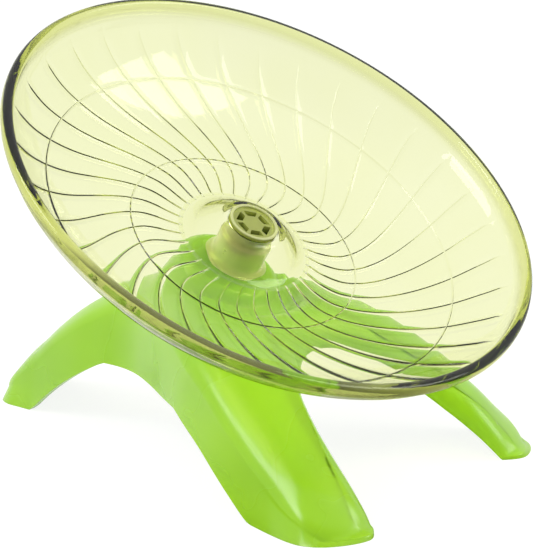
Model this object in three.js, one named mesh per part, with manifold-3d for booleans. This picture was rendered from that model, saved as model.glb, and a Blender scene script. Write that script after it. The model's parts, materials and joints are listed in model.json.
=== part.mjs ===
// A running saucer for a small pet: a clear ribbed dish that spins on a tilted axle,
// carried by two small ball bearings in the boss of a moulded three legged stand.
// Millimetres, +Z up. The origin is on the floor, under the middle of the whole's plan, from the
// low edge of the dish to the toe of the rear leg. The stand is modelled about the point on the
// floor below its boss face, and moved with the rest at the end.
// The dish leans towards -Y. The stand is alike left and right of the YZ plane, but for a shorter
// right front foot and a higher skirt along its right side.

import * as THREE from 'three';
import { mergeVertices } from 'three/addons/utils/BufferGeometryUtils.js';
import Module from 'manifold-3d';

const wasm = await Module();
wasm.setup();

// Driving dimensions of the whole
const dishRadius = 90;
const dishWall = 1.8;
const bossHeight = 60.8;
const rimHeight = 36;
const tiltDegrees = 35.3;

// Clearances
const seatGap = 0.3;
const runningGap = 0.2;
const cutOverrun = 1;
const weldReach = 0.0001;

// Dish, heights taken from the rim plane
const floorDepth = 25.9;
const hubFootRadius = 20.5;
const hubFootDepth = 25.2;
const hubTopRadius = 10.3;
const hubTopDepth = 17.7;
const hubEdge = 0.7;
const hubLedgeDepth = 1;
const beadHeight = 1.2;
const beadWidth = 3.6;
const ribCount = 34;
const ribHeight = 0.45;
const ribWidth = 0.9;
const ribPhaseDegrees = 4.4;
const ribStart = 22.3;
const ribEnd = 82.1;
const ringHeight = 0.4;
const innerRingRadius = 38.9;
const outerRingRadius = 69.8;

// Hub plug
const plugRingRadius = 8.3;
const plugProud = 1;
const plugBodyRadius = 6.6;
const plugPocketRadius = 6;
const plugPocketCount = 6;
const plugCoreRadius = 3.7;
const plugWebWidth = 1.1;
const plugPocketDepth = 5;
const plugFloor = 1;
const plugStemRadius = 2.6;
const plugCap = 1.3;

// Hub sleeve
const sleeveNeckRadius = 7.3;
const sleeveShoulderRadius = 8.5;
const sleeveShoulderDrop = 6;
const sleeveFlangeRadius = 10.6;
const sleeveFlangeThickness = 0.9;
const sleeveBaseHeight = 2.3;

// Axle and its ring and washer
const axleRadius = 1.5;
const axleFootDepth = 11;
const axleChamfer = 0.3;
const grooveDepth = 0.5;
const ringThickness = 0.6;
const ringWidth = 1.2;
const ringOpeningDegrees = 70;
const washerRadius = 3;
const washerThickness = 0.6;

// Ball bearings, 3 mm bore, 10 mm outside, 4 mm wide
const bearingRadius = 5;
const bearingWidth = 4;
const ballCount = 7;
const ballRadius = 0.79;
const ballCircle = 3.25;
const innerLandRadius = 2.7;
const outerLandRadius = 3.85;
const upperBearingHeight = 4.7;
const lowerBearingDepth = 8;
const cageBand = 0.4;
const cageWidth = 0.6;
const cageProng = 0.65;
const spacerRadius = 2.6;

// Stand
const postRadius = 6.6;
const postHeight = 8.7;
const tubeRadius = 7.4;
const tubeDepth = 10;
const boreRadius = 3.5;
const bossFaceRadius = 13.2;
const bossShoulderRadius = 17.5;
const bossShoulderDrop = 3.2;
const bossSkirtRadius = 19.8;
const bossSkirtDrop = 16;
const standReach = 109;
const standWall = 2.4;
const crownSetback = 8.4;
const crownRadius = 149.4;
const crownInset = 18.9;
const crownDepth = 90.25;
const legSwell = 1.8;
const legSwellHeight = 24;
const sideSkirt = 22.2;
const sideArch = 24;
const notchSkirt = 7;
const notchArch = 38;
const sideEdgeRadius = 2.4;
const notchEdgeRadius = 7;
const sideDraft = 2.6;
const sideFall = 8;
const sideFallReach = 14;
const fallFrom = 4;
const fallTo = 17.3;
const dishRelief = 5.8;
const bossBlend = 3;
const toeWall = 1;
const toeHeight = 2.6;
const toeBlend = 4;
const farSkirtReach = 107;
const farSkirtSlope = 0.38;
const farSkirtStart = 55.5;
const farSkirtRise = 0.95;
const rightFootTrim = 0.0745;
const leftStretchFrom = 35;
const leftStretchTo = 80;

// Facets
const hubFacets = 48;
const bossFacets = 36;
const smallFacets = 24;
const pocketFacets = 6;
const bossSearchSteps = 60;

const tilt = THREE.MathUtils.degToRad(tiltDegrees);
const turn = 2 * Math.PI;

// Dish section as shares of its radius: edge of the floor, foot of the wall, and both arcs' radii.
const dishSectionShares = [0.311, 0.611, 1.333, 0.667];
// Where the dish's under side takes its rings, from the wall to the hub's foot.
const dishUnderShares = [0.955, 0.89, 0.81, 0.72, 0.61, 0.46, 0.32];

// Radii of the ribs' stations as shares of the dish's radius, and the ribs' curl there.
const ribStationShares = [0.248, 0.311, 0.382, 0.436, 0.511, 0.589, 0.667, 0.778, 0.85, 0.912];
const ribCurlDegrees = [0, -2.6, -2.5, 0.2, 5.2, 10.3, 14.7, 19.5, 21.9, 23.2];

// Half of the stand's outline on the floor, as shares of the reach, from the notch between the
// front legs, round the front right foot and along the side, to the toe of the rear leg.
const outlineShares = [
  [0, -0.315], [0.064, -0.327], [0.128, -0.367], [0.182, -0.426], [0.229, -0.518],
  [0.265, -0.616], [0.292, -0.703], [0.32, -0.776], [0.349, -0.821], [0.395, -0.85],
  [0.453, -0.832], [0.508, -0.787], [0.536, -0.734], [0.539, -0.678], [0.522, -0.586],
  [0.49, -0.462], [0.455, -0.339], [0.418, -0.234], [0.372, -0.115], [0.306, 0.014],
  [0.235, 0.142], [0.181, 0.257], [0.158, 0.353], [0.158, 0.461], [0.162, 0.564],
  [0.159, 0.67], [0.155, 0.768], [0.153, 0.846], [0.15, 0.908], [0.124, 0.958],
  [0.066, 0.984], [0, 1],
];
const notchLastPoint = 8;
const sideFirstPoint = 12;
const rightFootPoints = [3.5, 8, 12, 16.5];
const outlineSteps = 1;
// Rings of the stand's rounded edge, and from there to the boss.
const edgeShares = [0, 0.13, 0.5, 1];
const spanShares = [0.3, 0.62, 1];

// Rings of the boss in plan, as shares of its shoulder radius: half width, reach forwards, reach back.
const bossRingShares = [
  [0.75, 0.62, 0.62], [0.88, 0.72, 0.79], [1, 0.82, 0.93], [1.07, 0.89, 1.11], [1.14, 0.96, 1.31],
  [1.23, 1.03, 1.51],
];

// Materials
const seeThrough = { metalness: 0, transparent: true };
const clearPlastic = { ...seeThrough, color: 0xe6ebb4, roughness: 0.08, opacity: 0.45 };
const frostedPlastic = { ...seeThrough, color: 0xd8d3ae, roughness: 0.45, opacity: 0.8 };
const greenPlastic = { color: 0xa6dd46, roughness: 0.25, metalness: 0 };
const steel = { color: 0xb9bcc0, roughness: 0.25, metalness: 1 };
const darkSteel = { color: 0x6b6e72, roughness: 0.4, metalness: 1 };
const cageBrass = { color: 0xb08d4a, roughness: 0.4, metalness: 1 };

// Geometry helpers

/** A lathe about +Z whose profile is a list of [radius, height] points. */
function lathe(profile, facets) {
  const points = profile.map(([radius, height]) => new THREE.Vector2(radius, height));
  const geometry = new THREE.LatheGeometry(points, facets);
  geometry.rotateX(Math.PI / 2);
  return geometry;
}

/** A lathe whose section closes on itself, such as a ring or a tube. */
function ringLathe(profile, facets) {
  return lathe([...profile, profile[0]], facets);
}

/** Merges the vertices of a geometry by their place alone. */
function weld(geometry) {
  const bare = geometry.clone();
  bare.deleteAttribute('normal');
  bare.deleteAttribute('uv');
  return mergeVertices(bare, weldReach);
}

/** The volume inside a welded geometry, negative when its faces point in. */
function signedVolume(geometry) {
  const place = geometry.getAttribute('position');
  const index = geometry.getIndex().array;
  const [a, b, c] = [new THREE.Vector3(), new THREE.Vector3(), new THREE.Vector3()];
  let volume = 0;
  for (let i = 0; i < index.length; i += 3) {
    a.fromBufferAttribute(place, index[i]);
    b.fromBufferAttribute(place, index[i + 1]);
    c.fromBufferAttribute(place, index[i + 2]);
    volume += a.dot(b.cross(c));
  }
  return volume;
}

/** Drops flat triangles and turns all faces outwards. */
function clean(geometry) {
  const welded = weld(geometry);
  const source = welded.getIndex().array;
  const kept = [];
  for (let i = 0; i < source.length; i += 3) {
    const [p, q, r] = [source[i], source[i + 1], source[i + 2]];
    if (p !== q && q !== r && r !== p) kept.push(p, q, r);
  }
  welded.setIndex(kept);
  if (signedVolume(welded) < 0) {
    for (let i = 0; i < kept.length; i += 3) {
      const keep = kept[i + 1];
      kept[i + 1] = kept[i + 2];
      kept[i + 2] = keep;
    }
    welded.setIndex(kept);
  }
  return welded;
}

/** A closed geometry as a solid that can be joined and cut. */
function solid(geometry) {
  const welded = clean(geometry);
  return new wasm.Manifold(new wasm.Mesh({
    numProp: 3,
    vertProperties: new Float32Array(welded.getAttribute('position').array),
    triVerts: new Uint32Array(welded.getIndex().array),
  }));
}

/** A solid's surface as a geometry. */
function surface(body) {
  const mesh = body.getMesh();
  const geometry = new THREE.BufferGeometry();
  const places = new THREE.BufferAttribute(new Float32Array(mesh.vertProperties), mesh.numProp);
  geometry.setAttribute('position', places);
  geometry.setIndex(new THREE.BufferAttribute(new Uint32Array(mesh.triVerts), 1));
  return geometry;
}

/** Faces between two rings of vertices that need not have equally many, zipped by angle. */
function zipRings(faces, first, second) {
  let i = 0;
  let j = 0;
  while (i < first.size || j < second.size) {
    const a = first.start + (i % first.size);
    const b = second.start + (j % second.size);
    const stepFirst = j >= second.size
      || (i < first.size && first.phase(i + 1) <= second.phase(j + 1));
    if (stepFirst) {
      faces.push(a, first.start + ((i + 1) % first.size), b);
      i += 1;
    } else {
      faces.push(a, second.start + ((j + 1) % second.size), b);
      j += 1;
    }
  }
}

/** A closed band of rings, each a list of places with a phase from 0 to 1 for each. */
function ringBand(rings) {
  const places = [];
  const faces = [];
  const sets = rings.map(({ points, phases }) => {
    const start = places.length / 3;
    points.forEach((point) => places.push(point.x, point.y, point.z));
    const phase = (i) => (i >= points.length ? 1 + phases[0] : phases[i]);
    return { start, size: points.length, phase };
  });
  for (let k = 0; k + 1 < sets.length; k += 1) zipRings(faces, sets[k], sets[k + 1]);
  const geometry = new THREE.BufferGeometry();
  geometry.setAttribute('position', new THREE.BufferAttribute(new Float32Array(places), 3));
  geometry.setIndex(faces);
  return geometry;
}

/** A named mesh with its own material. */
function piece(name, geometry, finish) {
  const mesh = new THREE.Mesh(clean(geometry), new THREE.MeshStandardMaterial({ ...finish, name }));
  mesh.name = name;
  return mesh;
}

// Dish

/** Height of the dish's upper face at a radius, from the hub's foot to the wall's top. */
function dishHeight(radius) {
  const [floorEdge, wallEdge, lowArc, wallArc] = dishSectionShares.map((share) => share * dishRadius);
  if (radius <= floorEdge) {
    const share = (radius - hubFootRadius) / (floorEdge - hubFootRadius);
    return -hubFootDepth - (floorDepth - hubFootDepth) * Math.sin(share * Math.PI / 2);
  }
  const lowRise = (reach) => lowArc - Math.sqrt(lowArc ** 2 - (reach - floorEdge) ** 2);
  if (radius <= wallEdge) return -floorDepth + lowRise(radius);
  const slope = (wallEdge - floorEdge) / lowArc;
  const sine = slope + (radius - wallEdge) / wallArc;
  const rise = wallArc * (Math.sqrt(1 - slope ** 2) - Math.sqrt(Math.max(0, 1 - sine ** 2)));
  return -floorDepth + lowRise(wallEdge) + rise;
}

/** Curl of a rib at a radius, as the angle from its inner end, counter-clockwise from above. */
function ribCurl(radius) {
  const share = radius / dishRadius;
  const last = ribStationShares.length - 1;
  if (share <= ribStationShares[0]) return THREE.MathUtils.degToRad(ribCurlDegrees[0]);
  if (share >= ribStationShares[last]) return THREE.MathUtils.degToRad(ribCurlDegrees[last]);
  const k = ribStationShares.findIndex((station) => station > share) - 1;
  const part = (share - ribStationShares[k]) / (ribStationShares[k + 1] - ribStationShares[k]);
  return THREE.MathUtils.degToRad(THREE.MathUtils.lerp(ribCurlDegrees[k], ribCurlDegrees[k + 1], part));
}

/** One ring of the dish's skin, plain or with the crest of each rib standing up. */
function dishRing(radius, height, ribbed) {
  const pitch = turn / ribCount;
  const phase = THREE.MathUtils.degToRad(ribPhaseDegrees) + ribCurl(radius);
  const points = [];
  const phases = [];
  const add = (offset, rise) => {
    const angle = phase + offset;
    points.push(new THREE.Vector3(radius * Math.cos(angle), radius * Math.sin(angle), height + rise));
    phases.push((offset + pitch / 2) / turn);
  };
  const flank = ribWidth / 2 / radius;
  for (let k = 0; k < ribCount; k += 1) {
    if (ribbed) {
      add(k * pitch - flank, 0);
      add(k * pitch, ribHeight);
      add(k * pitch + flank, 0);
    } else {
      add((k - 1 / 4) * pitch, 0);
      add((k + 1 / 4) * pitch, 0);
    }
  }
  return { points, phases };
}

/** The clear dish in one piece: hollow hub cone, ribbed floor, curved wall and rolled rim. */
function makeDish() {
  const holeRadius = plugRingRadius + seatGap;
  const ledgeRadius = plugBodyRadius + seatGap;
  const hubTop = -hubTopDepth;
  const ledge = hubTop - hubLedgeDepth;
  const rings = [];
  const plain = (radius, height) => rings.push(dishRing(radius, height, false));
  const ribbed = (radius, rise = 0) => rings.push(dishRing(radius, dishHeight(radius) + rise, true));

  plain(ledgeRadius, ledge);
  plain(holeRadius, ledge);
  plain(holeRadius, hubTop);
  plain(hubTopRadius, hubTop);
  plain(hubTopRadius + hubEdge, hubTop - hubEdge);
  const slantRadius = hubFootRadius - 2 * hubEdge;
  plain(slantRadius, -hubFootDepth + hubEdge);
  plain(hubFootRadius, -hubFootDepth);

  const raisedRing = (radius) => {
    ribbed(radius - ribWidth / 2);
    ribbed(radius, ringHeight);
    ribbed(radius + ribWidth / 2);
  };
  const spanRadii = (from, to, count) => {
    for (let k = 1; k < count; k += 1) ribbed(THREE.MathUtils.lerp(from, to, k / count));
  };
  plain(ribStart - ribWidth, dishHeight(ribStart));
  ribbed(ribStart);
  spanRadii(ribStart, innerRingRadius, 3);
  raisedRing(innerRingRadius);
  spanRadii(innerRingRadius, outerRingRadius, 4);
  raisedRing(outerRingRadius);
  spanRadii(outerRingRadius, ribEnd, 2);
  ribbed(ribEnd);
  plain(ribEnd + ribWidth, dishHeight(ribEnd + ribWidth));

  const beadInner = dishRadius - beadWidth;
  plain(beadInner, dishHeight(beadInner));
  plain(beadInner, beadHeight / 2);
  plain(beadInner + beadWidth / 4, beadHeight);
  plain(dishRadius - beadWidth / 4, beadHeight);
  plain(dishRadius, 0);
  plain(dishRadius, -beadHeight);
  plain(dishRadius - beadWidth / 4, -beadHeight - beadWidth / 4);

  const under = (radius) => {
    const step = hubEdge;
    const slope = (dishHeight(radius + step) - dishHeight(radius - step)) / (2 * step);
    const drop = dishWall * Math.sqrt(1 + slope ** 2);
    plain(radius, dishHeight(radius) - drop);
  };
  dishUnderShares.forEach((share) => under(share * dishRadius));
  const coneWall = dishWall * Math.SQRT2;
  plain(hubFootRadius, -hubFootDepth - dishWall);
  plain(slantRadius - coneWall / 2, -hubFootDepth - dishWall + hubEdge);
  plain(hubTopRadius + hubEdge - coneWall / 2, hubTop - dishWall - hubEdge);
  plain(hubTopRadius - coneWall / 2, hubTop - dishWall);
  plain(ledgeRadius, hubTop - dishWall);
  rings.push(rings[0]);
  return closeBand(rings);
}

/** A band whose last ring is its first, welded into one closed skin. */
function closeBand(rings) {
  return weld(ringBand(rings));
}

// Hub

/** The clear webbed insert in the middle of the hub, which grips the axle's top. */
function makeHubPlug() {
  const top = -hubTopDepth + plugProud;
  const shoulder = -hubTopDepth - hubLedgeDepth + seatGap;
  const pocketFloor = top - plugPocketDepth;
  const base = pocketFloor - plugFloor;
  const stemEnd = postHeight + 2 * seatGap + washerThickness + seatGap - rimHeight;
  const boreTop = pocketFloor + plugPocketDepth - plugProud - plugCap;
  const body = solid(lathe([
    [0, boreTop], [axleRadius + seatGap, boreTop], [axleRadius + seatGap, stemEnd],
    [plugStemRadius, stemEnd], [plugStemRadius, base], [plugBodyRadius, base],
    [plugBodyRadius, shoulder], [plugRingRadius, shoulder], [plugRingRadius, top],
    [plugRingRadius - plugProud, top], [plugRingRadius - plugProud, top - plugProud], [0, top - plugProud],
  ], hubFacets));
  const pocket = new THREE.Shape();
  const half = Math.PI / plugPocketCount - plugWebWidth / (plugPocketRadius + plugCoreRadius);
  pocket.absarc(0, 0, plugPocketRadius, -half, half, false);
  pocket.absarc(0, 0, plugCoreRadius, half, -half, true);
  pocket.closePath();
  const depth = plugPocketDepth + cutOverrun;
  let result = body;
  for (let k = 0; k < plugPocketCount; k += 1) {
    const cutOptions = { depth, bevelEnabled: false, curveSegments: pocketFacets };
    const cut = new THREE.ExtrudeGeometry(pocket, cutOptions);
    cut.translate(0, 0, pocketFloor);
    cut.rotateZ((k * turn) / plugPocketCount);
    result = result.subtract(solid(cut));
  }
  return surface(result);
}

/** The frosted bell under the hub, which covers the bearing post. */
function makeHubSleeve() {
  const top = -hubTopDepth - dishWall - seatGap;
  const shoulder = -hubTopDepth - sleeveShoulderDrop + plugProud;
  const base = sleeveBaseHeight - rimHeight;
  const flangeTop = base + sleeveFlangeThickness;
  const neckBore = plugBodyRadius + seatGap;
  const bellBore = sleeveShoulderRadius - sleeveFlangeThickness;
  const flare = sleeveFlangeRadius - sleeveShoulderRadius;
  return ringLathe([
    [neckBore, top], [sleeveNeckRadius, top], [sleeveNeckRadius, shoulder + sleeveFlangeThickness],
    [sleeveShoulderRadius, shoulder], [sleeveShoulderRadius, flangeTop + flare],
    [sleeveShoulderRadius + flare / 2, flangeTop], [sleeveFlangeRadius, flangeTop],
    [sleeveFlangeRadius, base], [sleeveShoulderRadius, base], [bellBore, flangeTop + flare],
    [bellBore, shoulder - sleeveFlangeThickness], [neckBore, shoulder],
  ], hubFacets);
}

// Axle and bearings, heights taken from the boss face

const axleTop = rimHeight - hubTopDepth - plugCap - seatGap;
const lowerBearingTop = -lowerBearingDepth + bearingWidth;
const upperBearingTop = upperBearingHeight + bearingWidth;
const clipTop = -lowerBearingDepth - seatGap;
const clipBase = clipTop - ringThickness;

/** The steel axle, grooved for its retaining ring. */
function makeAxle() {
  const grooveRadius = axleRadius - grooveDepth;
  const tip = axleRadius - axleChamfer;
  return lathe([
    [0, -axleFootDepth], [tip, -axleFootDepth], [axleRadius, -axleFootDepth + axleChamfer],
    [axleRadius, clipBase - seatGap], [grooveRadius, clipBase - seatGap],
    [grooveRadius, clipTop + seatGap], [axleRadius, clipTop + seatGap],
    [axleRadius, axleTop - axleChamfer], [tip, axleTop], [0, axleTop],
  ], smallFacets);
}

/** The open spring ring in the axle's groove. */
function makeRetainingRing() {
  const inner = axleRadius - grooveDepth + seatGap;
  const outer = inner + ringWidth;
  const half = THREE.MathUtils.degToRad(ringOpeningDegrees / 2);
  const shape = new THREE.Shape();
  shape.absarc(0, 0, outer, half, turn - half, false);
  shape.absarc(0, 0, inner, turn - half, half, true);
  shape.closePath();
  const geometry = new THREE.ExtrudeGeometry(shape, {
    depth: ringThickness, bevelEnabled: false, curveSegments: smallFacets / 2,
  });
  geometry.translate(0, 0, clipBase);
  return geometry;
}

/** A plain tube or washer between two heights. */
function makeTube(inner, outer, base, top) {
  return ringLathe([[inner, base], [outer, base], [outer, top], [inner, top]], smallFacets);
}

/** A bearing race: a ring with a groove for the balls on one side. */
function makeRace(plainRadius, landRadius, grooveRadius, base) {
  const middle = base + bearingWidth / 2;
  const reach = ballRadius * Math.SQRT1_2 + runningGap;
  return ringLathe([
    [plainRadius, base], [landRadius, base], [landRadius, middle - reach], [grooveRadius, middle],
    [landRadius, middle + reach], [landRadius, base + bearingWidth], [plainRadius, base + bearingWidth],
  ], smallFacets);
}

/** The crown cage that keeps the balls apart. */
function makeCage(base) {
  const middle = base + bearingWidth / 2;
  const bandTop = middle - ballRadius - runningGap;
  const inner = ballCircle - cageWidth / 2;
  const outer = ballCircle + cageWidth / 2;
  let body = solid(makeTube(inner, outer, bandTop - cageBand, bandTop));
  for (let k = 0; k < ballCount; k += 1) {
    const height = ballRadius + runningGap + ballRadius / 2 + cageBand / 2;
    const prong = new THREE.BoxGeometry(cageWidth * 3 / 4, cageProng, height);
    prong.translate(ballCircle, 0, bandTop - cageBand / 2 + height / 2);
    prong.rotateZ(((k + 1 / 2) * turn) / ballCount);
    body = body.add(solid(prong));
  }
  return surface(body);
}

/** One ball of a bearing, round its circle by its number. */
function makeBall(base, number) {
  const ball = new THREE.IcosahedronGeometry(ballRadius, 1);
  ball.translate(ballCircle, 0, base + bearingWidth / 2);
  ball.rotateZ((number * turn) / ballCount);
  return ball;
}

/** All the pieces of one bearing, named after its place. */
function makeBearing(place, base) {
  const group = new THREE.Group();
  const innerBore = axleRadius + runningGap;
  const innerGroove = ballCircle - ballRadius - runningGap;
  const outerGroove = ballCircle + ballRadius + runningGap;
  const innerRace = makeRace(innerBore, innerLandRadius, innerGroove, base);
  const outerRace = makeRace(bearingRadius, outerLandRadius, outerGroove, base);
  group.add(piece(`${place}_inner_race`, innerRace, steel));
  group.add(piece(`${place}_outer_race`, outerRace, steel));
  group.add(piece(`${place}_ball_cage`, makeCage(base), cageBrass));
  for (let k = 0; k < ballCount; k += 1) {
    group.add(piece(`${place}_ball_${k + 1}`, makeBall(base, k), steel));
  }
  return group;
}

// Stand

/** The stand's outline on the floor, with its inward normals and how far along each point is. */
function standOutline() {
  const half = outlineShares.map(([x, y]) => [x * standReach, y * standReach]);
  const mirrored = half.slice(1, -1).reverse().map(([x, y]) => [-x, y]);
  const curve = new THREE.CatmullRomCurve3(
    [...half, ...mirrored].map(([x, y]) => new THREE.Vector3(x, y, 0)), true, 'centripetal');
  const count = (half.length + mirrored.length) * outlineSteps;
  const outline = [];
  for (let k = 0; k < count; k += 1) {
    const share = k / count;
    const point = curve.getPoint(share);
    const along = curve.getTangent(share);
    const fold = Math.min(k, count - k) / outlineSteps;
    const sideShare = THREE.MathUtils.smoothstep(fold, notchLastPoint, sideFirstPoint);
    const [notchEnd, toeStart, toeEnd, sideStart] = rightFootPoints;
    const footShare = THREE.MathUtils.smoothstep(k / outlineSteps, notchEnd, toeStart)
      * (1 - THREE.MathUtils.smoothstep(k / outlineSteps, toeEnd, sideStart));
    point.multiplyScalar(1 - rightFootTrim * footShare);
    outline.push({ point, inward: new THREE.Vector3(-along.y, along.x, 0), sideShare });
  }
  return outline;
}

/** The lesser of two heights, blended softly over a width. */
function softLow(a, b, width) {
  const share = Math.max(width - Math.abs(a - b), 0) / width;
  return Math.min(a, b) - (share * share * width) / 4;
}

/** How far the boss's skin lies below its face plane at a radius from the axle. */
function bossDrop(radius) {
  if (radius <= bossFaceRadius) return 0;
  if (radius <= bossShoulderRadius) {
    const share = (radius - bossFaceRadius) / (bossShoulderRadius - bossFaceRadius);
    return bossShoulderDrop * share ** 2;
  }
  const slope = (bossSkirtDrop - bossShoulderDrop) / (bossSkirtRadius - bossShoulderRadius);
  return bossShoulderDrop + (radius - bossShoulderRadius) * slope;
}

/** Height of the tilted boss's skin above a place on the floor, searched from its face down. */
function bossSkin(x, y) {
  const [sine, cosine] = [Math.sin(tilt), Math.cos(tilt)];
  const across = (depth) => (y - depth * sine) / cosine;
  const inside = (depth) => depth >= bossDrop(Math.hypot(x, across(depth)));
  const step = (2 * bossSkirtDrop) / bossSearchSteps;
  let depth = 0;
  while (depth < 2 * bossSkirtDrop && !inside(depth)) depth += step;
  if (!inside(depth)) return 0;
  let low = Math.max(depth - step, 0);
  for (let k = 0; k < bossSearchSteps / 4; k += 1) {
    const middle = (low + depth) / 2;
    if (inside(middle)) depth = middle;
    else low = middle;
  }
  return bossHeight + across(depth) * sine - depth * cosine;
}

/** How far the stand's upper face falls away near its outer sides. */
function outerFall(x, y, outline) {
  let fall = 0;
  outline.forEach(({ point, sideShare }, k) => {
    const next = outline[(k + 1) % outline.length].point;
    const run = next.clone().sub(point);
    const along = ((x - point.x) * run.x + (y - point.y) * run.y) / run.lengthSq();
    const nearest = point.clone().addScaledVector(run, THREE.MathUtils.clamp(along, 0, 1));
    const share = Math.max(0, 1 - Math.hypot(x - nearest.x, y - nearest.y) / sideFallReach);
    fall = Math.max(fall, sideFall * sideShare * share ** 2);
  });
  return fall;
}

/** Height of the domed crown of the body and legs, which swells a little where a leg comes down. */
function crownHeight(x, y) {
  const leftShare = x < 0 ? THREE.MathUtils.smoothstep(-y, leftStretchFrom, leftStretchTo) : 0;
  const shrink = 1 - rightFootTrim * leftShare;
  const reach = Math.hypot(x * shrink, y * shrink - crownSetback) + crownInset;
  const crown = Math.sqrt(Math.max(crownRadius ** 2 - reach ** 2, 0)) - crownDepth;
  return crown + legSwell * Math.sin(Math.PI * THREE.MathUtils.clamp(crown / legSwellHeight, 1 / 2, 1));
}

/** Height of the stand's upper face above a place on the floor. */
function standTop(x, y, outline) {
  const crown = crownHeight(x, y);
  const fall = outerFall(x, y, outline) * THREE.MathUtils.smoothstep(crown, fallFrom, fallTo);
  const leg = -softLow(fall - crown, -toeHeight, toeBlend);
  const across = Math.hypot(x, y / Math.cos(tilt));
  const outShare = THREE.MathUtils.smoothstep(across, bossShoulderRadius, 2 * bossShoulderRadius);
  const relief = THREE.MathUtils.lerp(-bossShoulderDrop, dishRelief, outShare);
  const ceiling = bossHeight + (relief + Math.sin(tilt) * y) / Math.cos(tilt);
  const body = softLow(leg, ceiling, bossBlend);
  return -softLow(-body, -bossSkin(x, y), bossBlend);
}

/** Phase of a place round the boss, from 0 at the notch, counter-clockwise from above. */
function bossPhase(point) {
  const phase = (Math.atan2(point.y, point.x) + Math.PI / 2) / turn;
  return phase < 0 ? phase + 1 : phase;
}

/** The hollow shell of the legs, body and boss, open underneath. */
function makeStandShell() {
  const outline = standOutline();
  const top = (place) => standTop(place.x, place.y, outline);
  const edges = outline.map(({ point, sideShare }) => {
    const skirt = THREE.MathUtils.lerp(notchSkirt, sideSkirt, sideShare);
    const arch = THREE.MathUtils.lerp(notchArch, sideArch, sideShare);
    const crownHere = top(point) + sideFall * sideShare;
    const rearSkirt = (farSkirtReach - point.y) * farSkirtSlope;
    const frontSkirt = (farSkirtStart + point.y) * farSkirtRise;
    const farSkirt = point.x > 0 ? Math.min(rearSkirt, frontSkirt) : 0;
    return {
      low: Math.max(0, Math.min(arch, Math.max(crownHere - skirt, farSkirt))),
      radius: THREE.MathUtils.lerp(notchEdgeRadius, sideEdgeRadius, sideShare),
      draft: sideDraft * sideShare,
    };
  });
  const phases = outline.map(({ point }) => bossPhase(point));
  const ring = (insetAt, heightAt) => {
    const points = outline.map(({ point, inward }, k) => {
      const place = point.clone().addScaledVector(inward, insetAt(edges[k]));
      return place.setZ(heightAt(place, edges[k]));
    });
    return { points, phases };
  };
  const rounding = ({ radius }, share) => radius * (1 - Math.sqrt(1 - (1 - share) ** 2));
  const bossEllipse = ([halfWidth, front, back], angle) => new THREE.Vector3(
    bossShoulderRadius * halfWidth * Math.cos(angle),
    bossShoulderRadius * ((back - front) / 2 + ((back + front) / 2) * Math.sin(angle)), 0);
  const bossPhases = Array.from({ length: bossFacets }, (_, k) => k / bossFacets);
  const bossAngles = bossPhases.map((share) => share * turn - Math.PI / 2);
  const widest = bossRingShares[bossRingShares.length - 1];
  const skin = (sink, insetExtra) => {
    const lowest = edgeShares.length * toeWall;
    const toeStep = sink > 0 ? toeWall / 2 : toeWall;
    const height = (place, edge) => Math.max(top(place) - sink, edge.low + lowest - sink / 2);
    const bands = edgeShares.slice(sink > 0 ? 1 : 0).map((share, step) => ring(
      (edge) => insetExtra + edge.draft + share * edge.radius,
      (place, edge) => Math.max(
        top(place) - sink - rounding(edge, share), edge.low + (step + 1) * toeStep),
    ));
    const lip = bands[bands.length - 1].points;
    spanShares.forEach((share) => {
      const points = lip.map((point, k) => {
        const angle = Math.atan2(outline[k].point.y, outline[k].point.x);
        const place = point.clone().lerp(bossEllipse(widest, angle), share);
        return place.setZ(height(place, edges[k]));
      });
      bands.push({ points, phases });
    });
    [...bossRingShares].reverse().forEach((shares) => {
      const points = bossAngles.map((angle) => {
        const place = bossEllipse(shares, angle);
        return place.setZ(top(place) - sink);
      });
      bands.push({ points, phases: bossPhases });
    });
    const centre = new THREE.Vector3(0, 0, top(new THREE.Vector3()) - sink);
    bands.push({ points: [centre], phases: [0] });
    return bands;
  };
  const outerFoot = ring(() => 0, (place, edge) => edge.low);
  const innerFoot = ring(() => standWall, (place, edge) => edge.low);
  return closeBand([...skin(0, 0).reverse(), outerFoot, innerFoot, ...skin(standWall, standWall)]);
}

/** The stand in one moulding, with its bearing post and the seats for both bearings. */
function makeStand() {
  const inAxleFrame = (geometry) => {
    geometry.rotateX(tilt);
    geometry.translate(0, 0, bossHeight);
    return solid(geometry);
  };
  const post = inAxleFrame(lathe([
    [0, -tubeDepth], [tubeRadius, -tubeDepth], [tubeRadius, 0], [postRadius, 0],
    [postRadius, postHeight], [0, postHeight],
  ], hubFacets));
  const seat = bearingRadius + seatGap;
  const bore = inAxleFrame(lathe([
    [0, -tubeDepth - cutOverrun], [seat, -tubeDepth - cutOverrun], [seat, lowerBearingTop + seatGap],
    [boreRadius, lowerBearingTop + seatGap], [boreRadius, upperBearingHeight - seatGap],
    [seat, upperBearingHeight - seatGap], [seat, postHeight + cutOverrun], [0, postHeight + cutOverrun],
  ], hubFacets));
  return surface(solid(makeStandShell()).add(post).subtract(bore));
}

// Assembly

const dishReach = dishRadius * Math.cos(tilt) + rimHeight * Math.sin(tilt);
const saucerWheel = new THREE.Group();
saucerWheel.position.y = (dishReach - standReach) / 2;
saucerWheel.add(piece('stand', makeStand(), greenPlastic));

const axleFrame = new THREE.Group();
axleFrame.position.set(0, 0, bossHeight);
axleFrame.rotation.x = tilt;
saucerWheel.add(axleFrame);

const rimFrame = new THREE.Group();
rimFrame.position.z = rimHeight;
rimFrame.add(piece('saucer', makeDish(), clearPlastic));
rimFrame.add(piece('hub_plug', makeHubPlug(), clearPlastic));
rimFrame.add(piece('hub_sleeve', makeHubSleeve(), frostedPlastic));
axleFrame.add(rimFrame);

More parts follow.
